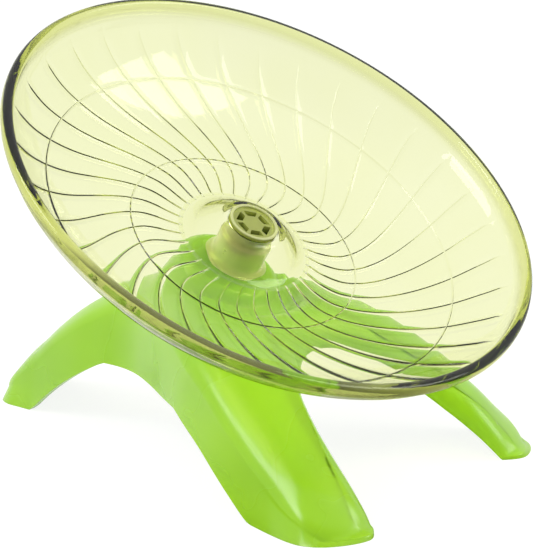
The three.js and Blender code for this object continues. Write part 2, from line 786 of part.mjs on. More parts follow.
axleFrame.add(piece('axle', makeAxle(), steel));
axleFrame.add(piece('retaining_ring', makeRetainingRing(), darkSteel));
const spacerBase = lowerBearingTop + seatGap;
const spacerTop = upperBearingHeight - seatGap;
const spacer = makeTube(axleRadius + runningGap, spacerRadius, spacerBase, spacerTop);
axleFrame.add(piece('bearing_spacer', spacer, darkSteel));
const washerBase = upperBearingTop + seatGap;
const washer = makeTube(axleRadius + runningGap, washerRadius, washerBase, washerBase + washerThickness);
axleFrame.add(piece('thrust_washer', washer, darkSteel));
axleFrame.add(makeBearing('upper', upperBearingHeight));
axleFrame.add(makeBearing('lower', -lowerBearingDepth));

export default saucerWheel;
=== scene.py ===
"""Looks of a running saucer for a small pet.

A clear ribbed dish spins on a tilted axle over a green three legged stand. Sizes are in
millimetres, as on the drawing of each part, and a finished piece is brought to metres at its place.
The axle frame has its origin in the middle of the boss face and its Z along the axle. The stand
frame has its origin on the floor, straight below the boss face.
"""

import json
import logging
import math
from dataclasses import dataclass, field
from enum import Enum

import bpy
import numpy as np
from mathutils import Matrix, Vector


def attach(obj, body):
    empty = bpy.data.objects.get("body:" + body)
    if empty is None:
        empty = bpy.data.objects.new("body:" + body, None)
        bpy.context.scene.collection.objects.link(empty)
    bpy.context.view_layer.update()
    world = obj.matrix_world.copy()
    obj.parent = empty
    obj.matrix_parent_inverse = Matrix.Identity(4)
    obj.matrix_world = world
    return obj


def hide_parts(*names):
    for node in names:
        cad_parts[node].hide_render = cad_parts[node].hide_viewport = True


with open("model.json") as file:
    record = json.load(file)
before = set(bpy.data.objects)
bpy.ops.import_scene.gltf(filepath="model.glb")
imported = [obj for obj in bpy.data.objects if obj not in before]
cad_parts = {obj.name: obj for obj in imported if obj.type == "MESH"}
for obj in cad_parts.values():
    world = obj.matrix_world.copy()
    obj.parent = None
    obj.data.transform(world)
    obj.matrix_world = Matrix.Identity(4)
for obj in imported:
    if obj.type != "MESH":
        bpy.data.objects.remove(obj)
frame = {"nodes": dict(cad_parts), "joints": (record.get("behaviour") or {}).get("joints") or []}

LOG = logging.getLogger("saucer")
MM = 0.001
WELD = 0.002

SPIN = next(joint for joint in frame["joints"] if joint["name"] == "saucer_spin")
BOSS_FACE = Vector(SPIN["pos_m"])
TILT = math.atan2(-SPIN["axis"][1], SPIN["axis"][2])
AXLE_FRAME = Matrix.Translation(BOSS_FACE) @ Matrix.Rotation(TILT, 4, "X") @ Matrix.Scale(MM, 4)
STAND_FRAME = Matrix.Translation((BOSS_FACE.x, BOSS_FACE.y, 0)) @ Matrix.Scale(MM, 4)


class Body(Enum):
    """The bodies that the pieces made here ride on."""

    STAND = "stand_body"
    SPINNER = "spinner"


class Side(Enum):
    """The two races of a ball bearing."""

    INNER = "inner"
    OUTER = "outer"


class Join(Enum):
    """The ways in which one solid is combined with another."""

    ADD = "UNION"
    CUT = "DIFFERENCE"


# Node trees


class Tree:
    """A material's or world's node tree, with short calls to fill it."""

    def __init__(self, owner: bpy.types.ID) -> None:
        """Empties the owner's node tree.

        Args:
            owner: The material or world.
        """
        owner.use_nodes = True
        self.tree = owner.node_tree
        self.tree.nodes.clear()

    def node(self, kind: str, **settings: object) -> bpy.types.Node:
        """Adds a node.

        Args:
            kind: The node's type, without its ShaderNode start.
            **settings: Attributes to set on it.

        Returns:
            The node.
        """
        made = self.tree.nodes.new("ShaderNode" + kind)
        for name, value in settings.items():
            setattr(made, name, value)
        return made

    def put(self, node: bpy.types.Node, name: str | int, value: object) -> None:
        """Sets an input, or links it when the value is a socket.

        Args:
            node: The node.
            name: The input's name or place.
            value: A number, colour or vector, or another node's output.
        """
        socket = node.inputs[name]
        if isinstance(value, bpy.types.NodeSocket):
            self.tree.links.new(value, socket)
        else:
            socket.default_value = value

    def math(self, kind: str, *values: object) -> bpy.types.NodeSocket:
        """Adds a Math node.

        Args:
            kind: The operation.
            *values: Its numbers or sockets, in order.

        Returns:
            The result.
        """
        made = self.node("Math", operation=kind)
        for place, value in enumerate(values):
            self.put(made, place, value)
        return made.outputs[0]

    def noise(self, scale: float, detail: float, stretch: tuple = (1, 1, 1)) -> bpy.types.NodeSocket:
        """Noise on the piece's own coordinates.

        Args:
            scale: Cells in a metre.
            detail: Octaves of finer noise.
            stretch: How much denser the noise is along X, Y and Z.

        Returns:
            The noise's factor.
        """
        mapping = self.node("Mapping")
        self.put(mapping, "Vector", self.node("TexCoord").outputs["Object"])
        self.put(mapping, "Scale", stretch)
        made = self.node("TexNoise")
        self.put(made, "Vector", mapping.outputs[0])
        self.put(made, "Scale", scale)
        self.put(made, "Detail", detail)
        return made.outputs["Fac"]

    def ramp(self, factor: bpy.types.NodeSocket, low: float, high: float,
             start: float = 0.3, end: float = 0.7) -> bpy.types.NodeSocket:
        """Brings a factor softly from one span to another.

        Args:
            factor: The factor.
            low: The result up to the start.
            high: The result from the end on.
            start: The factor where the result starts to change.
            end: The factor where the change is complete.

        Returns:
            The result.
        """
        made = self.node("MapRange", interpolation_type="SMOOTHSTEP")
        self.put(made, "Value", factor)
        for name, value in (("From Min", start), ("From Max", end), ("To Min", low), ("To Max", high)):
            self.put(made, name, value)
        return made.outputs[0]

    def blend(self, factor: object, first: object, second: object) -> bpy.types.NodeSocket:
        """Mixes two colours.

        Args:
            factor: The second colour's share.
            first: A colour or socket.
            second: A colour or socket.

        Returns:
            The mixed colour.
        """
        made = self.node("Mix", data_type="RGBA")
        for place, value in ((0, factor), (6, first), (7, second)):
            self.put(made, place, value)
        return made.outputs[2]

    def bump(self, height: bpy.types.NodeSocket, strength: float, reach: float) -> bpy.types.NodeSocket:
        """A normal from a height.

        Args:
            height: The height's socket.
            strength: The bump's strength.
            reach: The height's reach in metres.

        Returns:
            The normal.
        """
        made = self.node("Bump")
        self.put(made, "Strength", strength)
        self.put(made, "Distance", reach)
        self.put(made, "Height", height)
        return made.outputs[0]

    def along(self, space: str, way: tuple) -> bpy.types.NodeSocket:
        """Measures a texture coordinate along a direction.

        Args:
            space: The coordinate's name.
            way: The direction.

        Returns:
            How far the coordinate reaches along it.
        """
        made = self.node("VectorMath", operation="DOT_PRODUCT")
        self.put(made, 0, self.node("TexCoord").outputs[space])
        self.put(made, 1, way)
        return made.outputs["Value"]

    def mix(self, factor: object, first: bpy.types.NodeSocket,
            second: bpy.types.NodeSocket) -> bpy.types.NodeSocket:
        """Mixes two shaders.

        Args:
            factor: The second shader's share.
            first: A shader.
            second: A shader.

        Returns:
            The mixed shader.
        """
        made = self.node("MixShader")
        for place, value in enumerate((factor, first, second)):
            self.put(made, place, value)
        return made.outputs[0]

    def clear(self, colour: tuple) -> bpy.types.NodeSocket:
        """A shader that light passes straight through, tinted.

        Args:
            colour: The tint.

        Returns:
            The shader.
        """
        made = self.node("BsdfTransparent")
        self.put(made, "Color", colour)
        return made.outputs[0]

    def lamp_lit(self, surface: bpy.types.NodeSocket, shade: tuple) -> bpy.types.NodeSocket:
        """Lets lamps shine through a surface, as thin plastic does.

        Args:
            surface: The surface's shader.
            shade: The tint of the light that passes.

        Returns:
            The shader.
        """
        return self.mix(self.node("LightPath").outputs["Is Shadow Ray"], surface, self.clear(shade))

    def finish(self, surface: bpy.types.NodeSocket, volume: bpy.types.NodeSocket | None = None) -> None:
        """Links shaders to the output.

        Args:
            surface: The surface's shader.
            volume: The shader of what lies inside, if any.
        """
        output = self.node("OutputMaterial")
        self.put(output, "Surface", surface)
        if volume is not None:
            self.put(output, "Volume", volume)


def linear(red: int, green: int, blue: int) -> tuple[float, float, float, float]:
    """Turns a screen colour into the linear colour that renders as it.

    Args:
        red: The red channel, 0 to 255.
        green: The green channel.
        blue: The blue channel.

    Returns:
        The linear colour, with its alpha.
    """
    def channel(value: int) -> float:
        """Turns one channel linear."""
        share = value / 255
        return share / 12.92 if share <= 0.04045 else ((share + 0.055) / 1.055) ** 2.4
    return channel(red), channel(green), channel(blue), 1.0


# Finishes


@dataclass(frozen=True)
class GlossyPlastic:
    """Opaque moulded plastic with faint flow streaks."""

    name: str = "glossy_green_plastic"
    colour: tuple = linear(160, 215, 16)
    deep: tuple = linear(148, 204, 10)
    streak_scale: float = 12.0
    streak_stretch: tuple = (1, 1, 2.5)
    sheen_scale: float = 30.0
    roughness: tuple = (0.24, 0.32)
    ior: float = 1.49
    coat: float = 0.2
    coat_roughness: float = 0.12
    inner_light: float = 0.2
    inner_reach: float = 0.004
    inner_colours: tuple = (1.0, 1.0, 0.3)

    def material(self) -> bpy.types.Material:
        """Makes the material, which lets a little light wander below its skin.

        Returns:
            The material.
        """
        made = bpy.data.materials.new(self.name)
        tree = Tree(made)
        shader = tree.node("BsdfPrincipled")
        streaks = tree.noise(self.streak_scale, 2, self.streak_stretch)
        sheen = tree.noise(self.sheen_scale, 2)
        tree.put(shader, "Base Color", tree.blend(tree.ramp(streaks, 0, 1), self.colour, self.deep))
        tree.put(shader, "Roughness", tree.ramp(sheen, *self.roughness))
        tree.put(shader, "IOR", self.ior)
        tree.put(shader, "Coat Weight", self.coat)
        tree.put(shader, "Coat Roughness", self.coat_roughness)
        tree.put(shader, "Subsurface Weight", self.inner_light)
        tree.put(shader, "Subsurface Radius", self.inner_colours)
        tree.put(shader, "Subsurface Scale", self.inner_reach)
        tree.finish(shader.outputs[0])
        return made


@dataclass(frozen=True)
class ClearPlastic:
    """See-through moulded plastic, tinted through its thickness."""

    name: str = "clear_dish_plastic"
    skin: tuple = linear(252, 253, 240)
    clouded: tuple = linear(249, 251, 226)
    cloud_scale: float = 35.0
    tint: tuple = (0.73, 0.765, 0.10, 1.0)
    density: float = 215.0
    roughness: tuple = (0.015, 0.045)
    ior: float = 1.4
    wave_scale: float = 40.0
    wave: float = 0.03
    wave_reach: float = 0.001
    shade: tuple = linear(251, 252, 204)
    edge: tuple = linear(222, 226, 168)
    edge_share: float = 0.8
    edge_facing: tuple = (0.84, 0.96)

    def material(self) -> bpy.types.Material:
        """Makes the material, whose outline against the light is pale.

        Returns:
            The material.
        """
        made = bpy.data.materials.new(self.name)
        tree = Tree(made)
        shader = tree.node("BsdfPrincipled")
        cloud = tree.noise(self.cloud_scale, 3)
        tree.put(shader, "Base Color", tree.blend(cloud, self.skin, self.clouded))
        tree.put(shader, "Roughness", tree.ramp(cloud, *self.roughness))
        tree.put(shader, "IOR", self.ior)
        tree.put(shader, "Transmission Weight", 1.0)
        waves = tree.noise(self.wave_scale, 2)
        tree.put(shader, "Normal", tree.bump(waves, self.wave, self.wave_reach))
        surface = tree.lamp_lit(shader.outputs[0], self.shade)
        facing = tree.node("LayerWeight").outputs["Facing"]
        skimmed = tree.ramp(facing, 0, self.edge_share, *self.edge_facing)
        inside = tree.node("VolumeAbsorption")
        tree.put(inside, "Color", self.tint)
        tree.put(inside, "Density", self.density)
        tree.finish(tree.mix(skimmed, surface, tree.clear(self.edge)), inside.outputs[0])
        return made


@dataclass(frozen=True)
class PlugPlastic:
    """Clear plastic of a thick webbed insert, with painted shade that darkens it below its ring's top and
    most deep in its pockets.
    """

    name: str = "webbed_plug_with_painted_shade"
    # pale is the plastic's own tint; middle is painted shade below the ring's top, and dark is deeper
    # painted shade in the pockets
    pale: tuple = linear(244, 248, 176)
    middle: tuple = linear(198, 207, 104)
    dark: tuple = linear(120, 136, 34)
    pocket_shade_levels: tuple = (14.4, 18.2)
    ring_shade_levels: tuple = (18.7, 19.2)
    cloud_scale: float = 200.0
    roughness: tuple = (0.08, 0.2)
    ior: float = 1.4
    see_through: float = 0.4

    def material(self) -> bpy.types.Material:
        """Makes the material, with its painted shade set by the height along the axle.

        Returns:
            The material.
        """
        made = bpy.data.materials.new(self.name)
        tree = Tree(made)
        shader = tree.node("BsdfPrincipled")
        axis = AXLE_FRAME.to_3x3().normalized() @ Vector((0, 0, 1))
        level = tree.along("Object", tuple(axis))
        base = BOSS_FACE.dot(axis)
        # Painted shade: dark deep in the pockets, middle up to the ring's top, pale on the ring itself
        less_pocket_shade = tree.ramp(level, 0, 1, *(base + value * MM for value in self.pocket_shade_levels))
        ring_out_of_shade = tree.ramp(level, 0, 1, *(base + value * MM for value in self.ring_shade_levels))
        tint = tree.blend(ring_out_of_shade, tree.blend(less_pocket_shade, self.dark, self.middle), self.pale)
        tree.put(shader, "Base Color", tint)
        tree.put(shader, "Roughness", tree.ramp(tree.noise(self.cloud_scale, 3), *self.roughness))
        tree.put(shader, "IOR", self.ior)
        tree.put(shader, "Transmission Weight", self.see_through)
        tree.finish(shader.outputs[0])
        return made


@dataclass(frozen=True)
class FrostedPlastic:
    """Milky natural plastic that blurs what is behind it."""

    name: str = "frosted_plastic"
    colour: tuple = linear(255, 254, 248)
    clouded: tuple = linear(252, 250, 238)
    cloud_scale: float = 90.0
    roughness: tuple = (0.25, 0.38)
    see_through: float = 0.76
    ior: float = 1.25
    coat: float = 0.8
    coat_roughness: float = 0.18
    grain: float = 0.1
    grain_reach: float = 0.0005
    shade: tuple = linear(235, 234, 215)

    def material(self) -> bpy.types.Material:
        """Makes the material.

        Returns:
            The material.
        """
        made = bpy.data.materials.new(self.name)
        tree = Tree(made)
        shader = tree.node("BsdfPrincipled")
        cloud = tree.noise(self.cloud_scale, 4)
        tree.put(shader, "Base Color", tree.blend(tree.ramp(cloud, 0, 1), self.colour, self.clouded))
        tree.put(shader, "Roughness", tree.ramp(cloud, *self.roughness))
        tree.put(shader, "Transmission Weight", self.see_through)
        tree.put(shader, "IOR", self.ior)
        tree.put(shader, "Coat Weight", self.coat)
        tree.put(shader, "Coat Roughness", self.coat_roughness)
        tree.put(shader, "Normal", tree.bump(cloud, self.grain, self.grain_reach))
        tree.finish(tree.lamp_lit(shader.outputs[0], self.shade))
        return made


@dataclass(frozen=True)
class Metal:
    """Turned or stamped metal, with its fine marks round the axle."""

    name: str
    colour: tuple
    roughness: float
    stain_share: float = 0.72
    stain_scale: float = 300.0
    mark_scale: float = 2500.0
    mark_stretch: tuple = (1, 1, 6)
    mark_roughness: tuple = (-0.06, 0.1)
    mark_depth: float = 0.1
    mark_reach: float = 0.0001

    def material(self) -> bpy.types.Material:
        """Makes the material.

        Returns:
            The material.
        """
        made = bpy.data.materials.new(self.name)
        tree = Tree(made)
        shader = tree.node("BsdfPrincipled")
        marks = tree.noise(self.mark_scale, 2, self.mark_stretch)
        stain = tree.noise(self.stain_scale, 3)
        dark = tuple(self.stain_share * part for part in self.colour[:3]) + (1.0,)
        tree.put(shader, "Base Color", tree.blend(tree.ramp(stain, 0, 1), self.colour, dark))
        tree.put(shader, "Metallic", 1.0)
        smooth_end, rough_end = self.mark_roughness
        rough = tree.ramp(marks, self.roughness + smooth_end, self.roughness + rough_end)
        tree.put(shader, "Roughness", rough)
        tree.put(shader, "Normal", tree.bump(marks, self.mark_depth, self.mark_reach))
        tree.finish(shader.outputs[0])
        return made


# Modelling helpers


def deselect() -> None:
    """Leaves edit mode and deselects everything."""
    if bpy.context.object is not None and bpy.context.object.mode != "OBJECT":
        bpy.ops.object.mode_set(mode="OBJECT")
    bpy.ops.object.select_all(action="DESELECT")


def take(piece: bpy.types.Object) -> None:
    """Makes a piece the only selected and active one.

    Args:
        piece: The piece.
    """
    deselect()
    piece.select_set(True)
    bpy.context.view_layer.objects.active = piece


def smooth(piece: bpy.types.Object, degrees: float) -> None:
    """Shades a piece smooth, with edges sharp past an angle."""
    take(piece)
    bpy.ops.object.shade_smooth_by_angle(angle=math.radians(degrees))


def settle(piece: bpy.types.Object, place: Matrix) -> None:
    """Brings a piece to its place in its mesh, with its object left at the origin.

    Args:
        piece: The piece.
        place: The move, turn and scale that take it there.
    """
    piece.data.transform(piece.matrix_world)
    piece.matrix_world = Matrix.Identity(4)
    piece.data.transform(place)
    piece.data.update()


def weld_and_face_out() -> None:
    """Merges the doubles of the mesh in edit mode and turns its faces outwards."""
    bpy.ops.mesh.select_all(action="SELECT")
    bpy.ops.mesh.remove_doubles(threshold=WELD)
    bpy.ops.mesh.normals_make_consistent(inside=False)


def turned(name: str, profile: list[tuple[float, float]], facets: int = 96) -> bpy.types.Object:
    """Turns a section about Z, ring by ring.

    Args:
        name: The piece's name.
        profile: Radius and height of each ring, in order. A section that starts and ends on the
            axis is solid, and any other closes on itself as a ring does.
        facets: Facets round the axis.

    Returns:
        The piece, about the origin.
    """
    filled = profile[0][0] == 0
    radius, height = profile[1] if filled else profile[0]
    path = profile[2:] if filled else profile[1:] + profile[:1]
    deselect()
    bpy.ops.mesh.primitive_circle_add(
        vertices=facets, radius=radius, fill_type="TRIFAN" if filled else "NOTHING", location=(0, 0, 0))
    piece = bpy.context.object
    piece.name = name
    bpy.ops.object.mode_set(mode="EDIT")
    bpy.ops.mesh.select_all(action="SELECT")
    bpy.ops.transform.translate(value=(0, 0, height))
    if filled:
        bpy.ops.mesh.select_all(action="DESELECT")
        bpy.ops.mesh.select_mode(type="EDGE")
        bpy.ops.mesh.select_non_manifold()
    for next_radius, next_height in path:
        rise = (0, 0, next_height - height)
        bpy.ops.mesh.extrude_edges_move(TRANSFORM_OT_translate={"value": rise})
        if next_radius == 0:
            bpy.ops.mesh.merge(type="CENTER")
            break
        share = next_radius / radius
        bpy.ops.transform.resize(value=(share, share, 1), center_override=(0, 0, next_height))
        radius, height = next_radius, next_height
    weld_and_face_out()
    bpy.ops.object.mode_set(mode="OBJECT")
    return piece


def lofted(name: str, rings: list[np.ndarray], closed: bool) -> bpy.types.Object:
    """Lays a skin over rings of equally many points, for a free form that operators don't give.

    Args:
        name: The piece's name.
        rings: The rings, each an array of points.
        closed: Whether the first and last ring are filled with a fan about their middle.

    Returns:
        The piece.
    """
    count = len(rings[0])
    faces = []
    for row in range(len(rings) - 1):
        for column in range(count):
            following = (column + 1) % count
            low, high = row * count, (row + 1) * count
            faces.append((low + column, low + following, high + following, high + column))
    points = list(np.concatenate(rings))
    if closed:
        for row in (0, len(rings) - 1):
            middle = len(points)
            points.append(rings[row].mean(axis=0))
            for column in range(count):
                ends = (row * count + column, row * count + (column + 1) % count)
                faces.append((middle, *(ends if row else ends[::-1])))
    mesh = bpy.data.meshes.new(name)
    mesh.from_pydata([tuple(point) for point in points], [], faces)
    piece = bpy.data.objects.new(name, mesh)
    bpy.context.collection.objects.link(piece)
    take(piece)
    bpy.ops.object.mode_set(mode="EDIT")
    weld_and_face_out()
    bpy.ops.object.mode_set(mode="OBJECT")
    return piece


def combine(piece: bpy.types.Object, tool: bpy.types.Object, way: Join) -> None:
    """Joins a tool to a piece or cuts it out, and deletes the tool.

    Args:
        piece: The piece that is kept.
        tool: The solid that joins or cuts.
        way: How they are combined.
    """
    take(piece)
    boolean = piece.modifiers.new("combine", "BOOLEAN")
    boolean.operation = way.value
    boolean.solver = "EXACT"
    boolean.object = tool
    bpy.ops.object.modifier_apply(modifier=boolean.name)
    bpy.data.objects.remove(tool)


def rounded(corner: tuple[float, float], before: tuple[float, float], after: tuple[float, float],
            radius: float, steps: int = 4) -> list[tuple[float, float]]:
    """Points round a corner of a section.

    Args:
        corner: The sharp corner.
        before: The section's point before it.
        after: The section's point after it.
        radius: How far from the corner the rounding starts.
        steps: Faces in the rounding.

    Returns:
        The points, on the curve that touches both sides.
    """
    middle, first, last = Vector(corner), Vector(before), Vector(after)
    start = middle + (first - middle).normalized() * radius
    end = middle + (last - middle).normalized() * radius
    curve = []
    for step in range(steps + 1):
        share = step / steps
        point = start * (1 - share) ** 2 + middle * 2 * share * (1 - share) + end * share ** 2
        curve.append((point.x, point.y))
    return curve


def softened(profile: list[tuple[float, float]], radii: dict[int, float]) -> list[tuple[float, float]]:
    """A section with some corners rounded.

    Args:
        profile: The section's corners.
        radii: The rounding of each corner, by its place in the profile.

    Returns:
        The section with the corners replaced by curves.
    """
    made = []
    for place, corner in enumerate(profile):
        if place in radii:
            before, after = profile[place - 1], profile[(place + 1) % len(profile)]
            made += rounded(corner, before, after, radii[place])
        else:
            made.append(corner)
    return made


def dress(piece: bpy.types.Object, material: bpy.types.Material, body: Body, node: str) -> None:
    """Finishes a new piece for the frame.

    Args:
        piece: The piece.
        material: Its material.
        body: The body that it rides on.
        node: The CAD node that it stands for.
    """
    piece.data.materials.clear()
    piece.data.materials.append(material)
    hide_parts(node)
    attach(piece, body.value)
    LOG.info("%s: %d faces, rides on %s", piece.name, len(piece.data.polygons), body.value)


# Dish


@dataclass
class Dish:
    """The clear dish with its hollow hub, raised curved ribs and rolled rim."""

    rim_height: float = 36.0
    radius: float = 90.0
    wall: float = 1.8
    floor_depth: float = 25.9
    hub_foot: tuple = (20.5, -25.2)
    hub_top: tuple = (10.3, -17.7)
    hub_hole: float = 8.6
    hub_ledge: tuple = (6.9, -18.7)
    hub_lip: float = 0.3
    hub_flank: tuple = (1.6, 0.5)
    hub_foot_inset: float = 0.8
    hub_foot_run: tuple = (4.0, 0.3)
    hub_rounds: tuple = (1.0, 3.0)
    under_foot: tuple = (0.5, 0.35)
    under_bend: tuple = (2.6, 0.2)
    under_neck: float = 1.2
    under_rounds: tuple = (1.5, 0.8)
    under_start: float = 86.0
    under_clearance: float = 3.0
    under_count: int = 34
    cone_share: float = 1.3
    floor_edge: float = 28.0
    wall_edge: float = 55.0
    low_arc: float = 120.0
    wall_arc: float = 60.0
    bead_inner: float = 86.3
    bead_height: float = 1.2
    bead_start: float = 0.6
    bead_root: float = -3.4
    bead_waist: tuple = (0.15, -1.6)
    bead_crown: tuple = (0.1, 1.6)
    bead_shoulder: tuple = (1.0, -1.0)
    bead_skirt: tuple = (-2.4, 1.9, -4.4)
    bead_end: tuple = (1.1, -3.3)
    bead_rounds: tuple = (1.5, 1.7, 1.1)
    row_gap: float = 1.35
    rows_end: float = 84.6
    rib_count: int = 34
    rib_height: float = 0.36
    rib_half_width: float = 0.36
    rib_span: tuple = (22.3, 82.1)
    rib_fade: float = 1.6
    rib_phase: float = math.radians(4.4)
    ring_radii: tuple = (38.9, 69.8)
    ring_height: float = 0.34
    ring_half_width: float = 0.36
    stations: tuple = (22.3, 28.0, 34.4, 39.2, 46.0, 53.0, 60.0, 70.0, 76.5, 82.1)
    curls: tuple = (0.0, -2.6, -2.5, 0.2, 5.2, 10.3, 14.7, 19.5, 21.9, 23.2)
    crest: tuple = (-1.0, -0.72, -0.42, -0.15, 0.15, 0.42, 0.72, 1.0)
    gaps: int = 5

    def height(self, radius: float) -> float:
        """Works out the dish's upper face.

        Args:
            radius: Distance from the axle.

        Returns:
            The face's height from the rim plane.
        """
        foot_radius, foot_height = self.hub_foot
        if radius <= self.floor_edge:
            share = (radius - foot_radius) / (self.floor_edge - foot_radius)
            return foot_height - (self.floor_depth + foot_height) * math.sin(share * math.pi / 2)
        low = min(radius, self.wall_edge) - self.floor_edge
        height = -self.floor_depth + self.low_arc - math.sqrt(self.low_arc ** 2 - low ** 2)
        if radius <= self.wall_edge:
            return height
        slope = low / self.low_arc
        sine = min(slope + (radius - self.wall_edge) / self.wall_arc, 1)
        return height + self.wall_arc * (math.sqrt(1 - slope ** 2) - math.sqrt(1 - sine ** 2))

    def curl(self, radius: float) -> float:
        """Works out the turn of the ribs, smooth through its stations.

        Args:
            radius: Distance from the axle.

        Returns:
            The turn in radians.
        """
        stations, curls = np.array(self.stations), np.radians(self.curls)
        radius = float(np.clip(radius, stations[0], stations[-1]))
        slopes = np.gradient(curls, stations)
        place = min(int(np.searchsorted(stations, radius, side="right")) - 1, len(stations) - 2)
        run = stations[place + 1] - stations[place]
        share = (radius - stations[place]) / run
        return float(
            curls[place] * (1 + 2 * share) * (1 - share) ** 2
            + slopes[place] * run * share * (1 - share) ** 2
            + curls[place + 1] * share ** 2 * (3 - 2 * share)
            + slopes[place + 1] * run * share ** 2 * (share - 1))

    def offset(self, radius: float) -> tuple[float, float]:
        """Finds the under face, one wall below the upper face.

        Args:
            radius: Distance of the upper face's point from the axle.

        Returns:
            The under face's radius and height.
        """
        step = 0.2
        slope = (self.height(radius + step) - self.height(radius - step)) / (2 * step)
        length = math.hypot(1, slope)
        return radius + self.wall * slope / length, self.height(radius) - self.wall / length

    def flank(self) -> tuple[float, float]:
        """Finds a point low on the hub's cone.

        Returns:
            Its radius and height.
        """
        radius, height = self.hub_foot
        inset, rise = self.hub_flank
        return radius - inset, height + rise

    def hub_rows(self) -> list[tuple[float, float]]:
        """The section's upper side over the hub.

        Returns:
            Radius and height of each row, from the ledge of the plug's hole out to the cone's foot.
        """
        ledge_radius, ledge = self.hub_ledge
        top_radius, top = self.hub_top
        foot_radius, foot = self.hub_foot
        run, fall = self.hub_foot_run
        top_round, foot_round = self.hub_rounds
        rows = [(ledge_radius, ledge), (self.hub_hole, ledge), (self.hub_hole, top + WELD * 10)]
        rows += rounded((top_radius + self.hub_lip, top), (self.hub_hole, top), self.flank(),
                        top_round, steps=5)
        rows += rounded((foot_radius - self.hub_foot_inset, foot), (top_radius, top),
                        (foot_radius + run, foot - fall), foot_round, steps=6)
        return rows

    def wall_rows(self) -> list[tuple[float, float, float, float]]:
        """The section's upper side over the floor and wall, closer together at the rings.

        Returns:
            Rows of radius, height, rib share and ring height.
        """
        first, last = self.rib_span
        radii = set(np.arange(first - 1, self.rows_end, self.row_gap))
        for ring in self.ring_radii:
            radii = {value for value in radii if abs(value - ring) > 2 * self.ring_half_width}
            radii |= {ring + share * self.ring_half_width for share in self.crest}
        rows = []
        for radius in sorted(float(value) for value in radii):
            inside = min(radius - first, last - radius) + self.rib_fade
            rise = min(max(inside / self.rib_fade, 0), 1)
            ring = max(1 - min(abs(radius - value) for value in self.ring_radii) / self.ring_half_width, 0)
            bump = self.ring_height * math.sin(ring * math.pi / 2) ** 2
            rows.append((radius, self.height(radius), rise, bump))
        return rows

    def bead_rows(self) -> list[tuple[float, float]]:
        """The section round the rolled rim.

        Returns:
            Radius and height of each row, from the rim's inner root over its crown to its outer foot.
        """
        inner, outer, crown = self.bead_inner, self.radius, self.bead_height
        lean, waist = self.bead_waist
        crown_lean, crown_inset = self.bead_crown
        shoulder_run, shoulder_low = self.bead_shoulder
        skirt, skirt_inset, skirt_low = self.bead_skirt
        inner_round, outer_round, skirt_round = self.bead_rounds
        start = inner - self.bead_start
        corner = inner + crown_lean
        rows = [(start, self.height(start)), (inner, self.bead_root), (inner + lean, waist)]
        rows += rounded((corner, crown), (corner, waist), (outer - crown_inset, crown),
                        inner_round, steps=5)
        rows += rounded((outer, crown), (inner + shoulder_run, crown), (outer, shoulder_low),
                        outer_round, steps=6)
        rows += rounded((outer, skirt), (outer, 0), (outer - skirt_inset, skirt_low),
                        skirt_round, steps=5)
        return rows

    def under_rows(self) -> list[tuple[float, float]]:
        """The section's under side.

        Returns:
            Radius and height of each row, from the rim in to the ledge.
        """
        top_radius, top = self.hub_top
        foot_radius, foot = self.hub_foot
        ledge_radius = self.hub_ledge[0]
        out, low = self.bead_end
        radii = np.linspace(self.under_start, foot_radius + self.under_clearance, self.under_count)
        under = [self.offset(radius) for radius in radii]
        rows = [((under[0][0] + self.radius - out) / 2, (under[0][1] + low) / 2), *under]
        neck = top_radius - self.wall * self.cone_share
        ceiling = top - self.wall
        inset, drop = self.under_foot
        bend, rise = self.under_bend
        bend_round, neck_round = self.under_rounds
        rows.append((foot_radius - inset, foot - self.wall - drop))
        rows += rounded((foot_radius - bend, foot - self.wall + rise),
                        (foot_radius, foot - self.wall - self.hub_foot_run[1]), (neck + 1, ceiling),
                        bend_round, steps=4)
        rows += rounded((neck + self.under_neck, ceiling), self.flank(), (ledge_radius, ceiling),
                        neck_round, steps=3)
        rows.append((ledge_radius, ceiling))
        return rows

    def section(self) -> list[tuple[float, float, float, float]]:
        """The closed section.

        Returns:
            Rows of radius, height, rib share and ring height.
        """
        rows = [(radius, height, 0.0, 0.0) for radius, height in self.hub_rows()]
        rows += self.wall_rows()
        rows += [(radius, height, 0.0, 0.0) for radius, height in self.bead_rows() + self.under_rows()]
        return rows + rows[:1]

    def pitch_points(self, row: tuple[float, float, float, float]) -> np.ndarray:
        """Works out one row of one rib's pitch.

        Args:
            row: The row's radius, height, rib share and ring height.

        Returns:
            The row's points.
        """
        radius, height, rise, bump = row
        pitch = 2 * math.pi / self.rib_count
        half = min(self.rib_half_width / radius, pitch / 4)
        free = np.linspace(half, pitch - half, self.gaps + 1)[1:]
        offsets = np.concatenate([np.array(self.crest) * half, free])
        lift = np.zeros(len(offsets))
        crests = len(self.crest)
        lift[:crests] = self.rib_height * rise * np.cos(np.array(self.crest) * math.pi / 2) ** 2
        lift = np.maximum(lift, bump)
        angles = self.rib_phase + self.curl(radius) + offsets
        return np.stack([radius * np.cos(angles), radius * np.sin(angles), height + lift], axis=1)

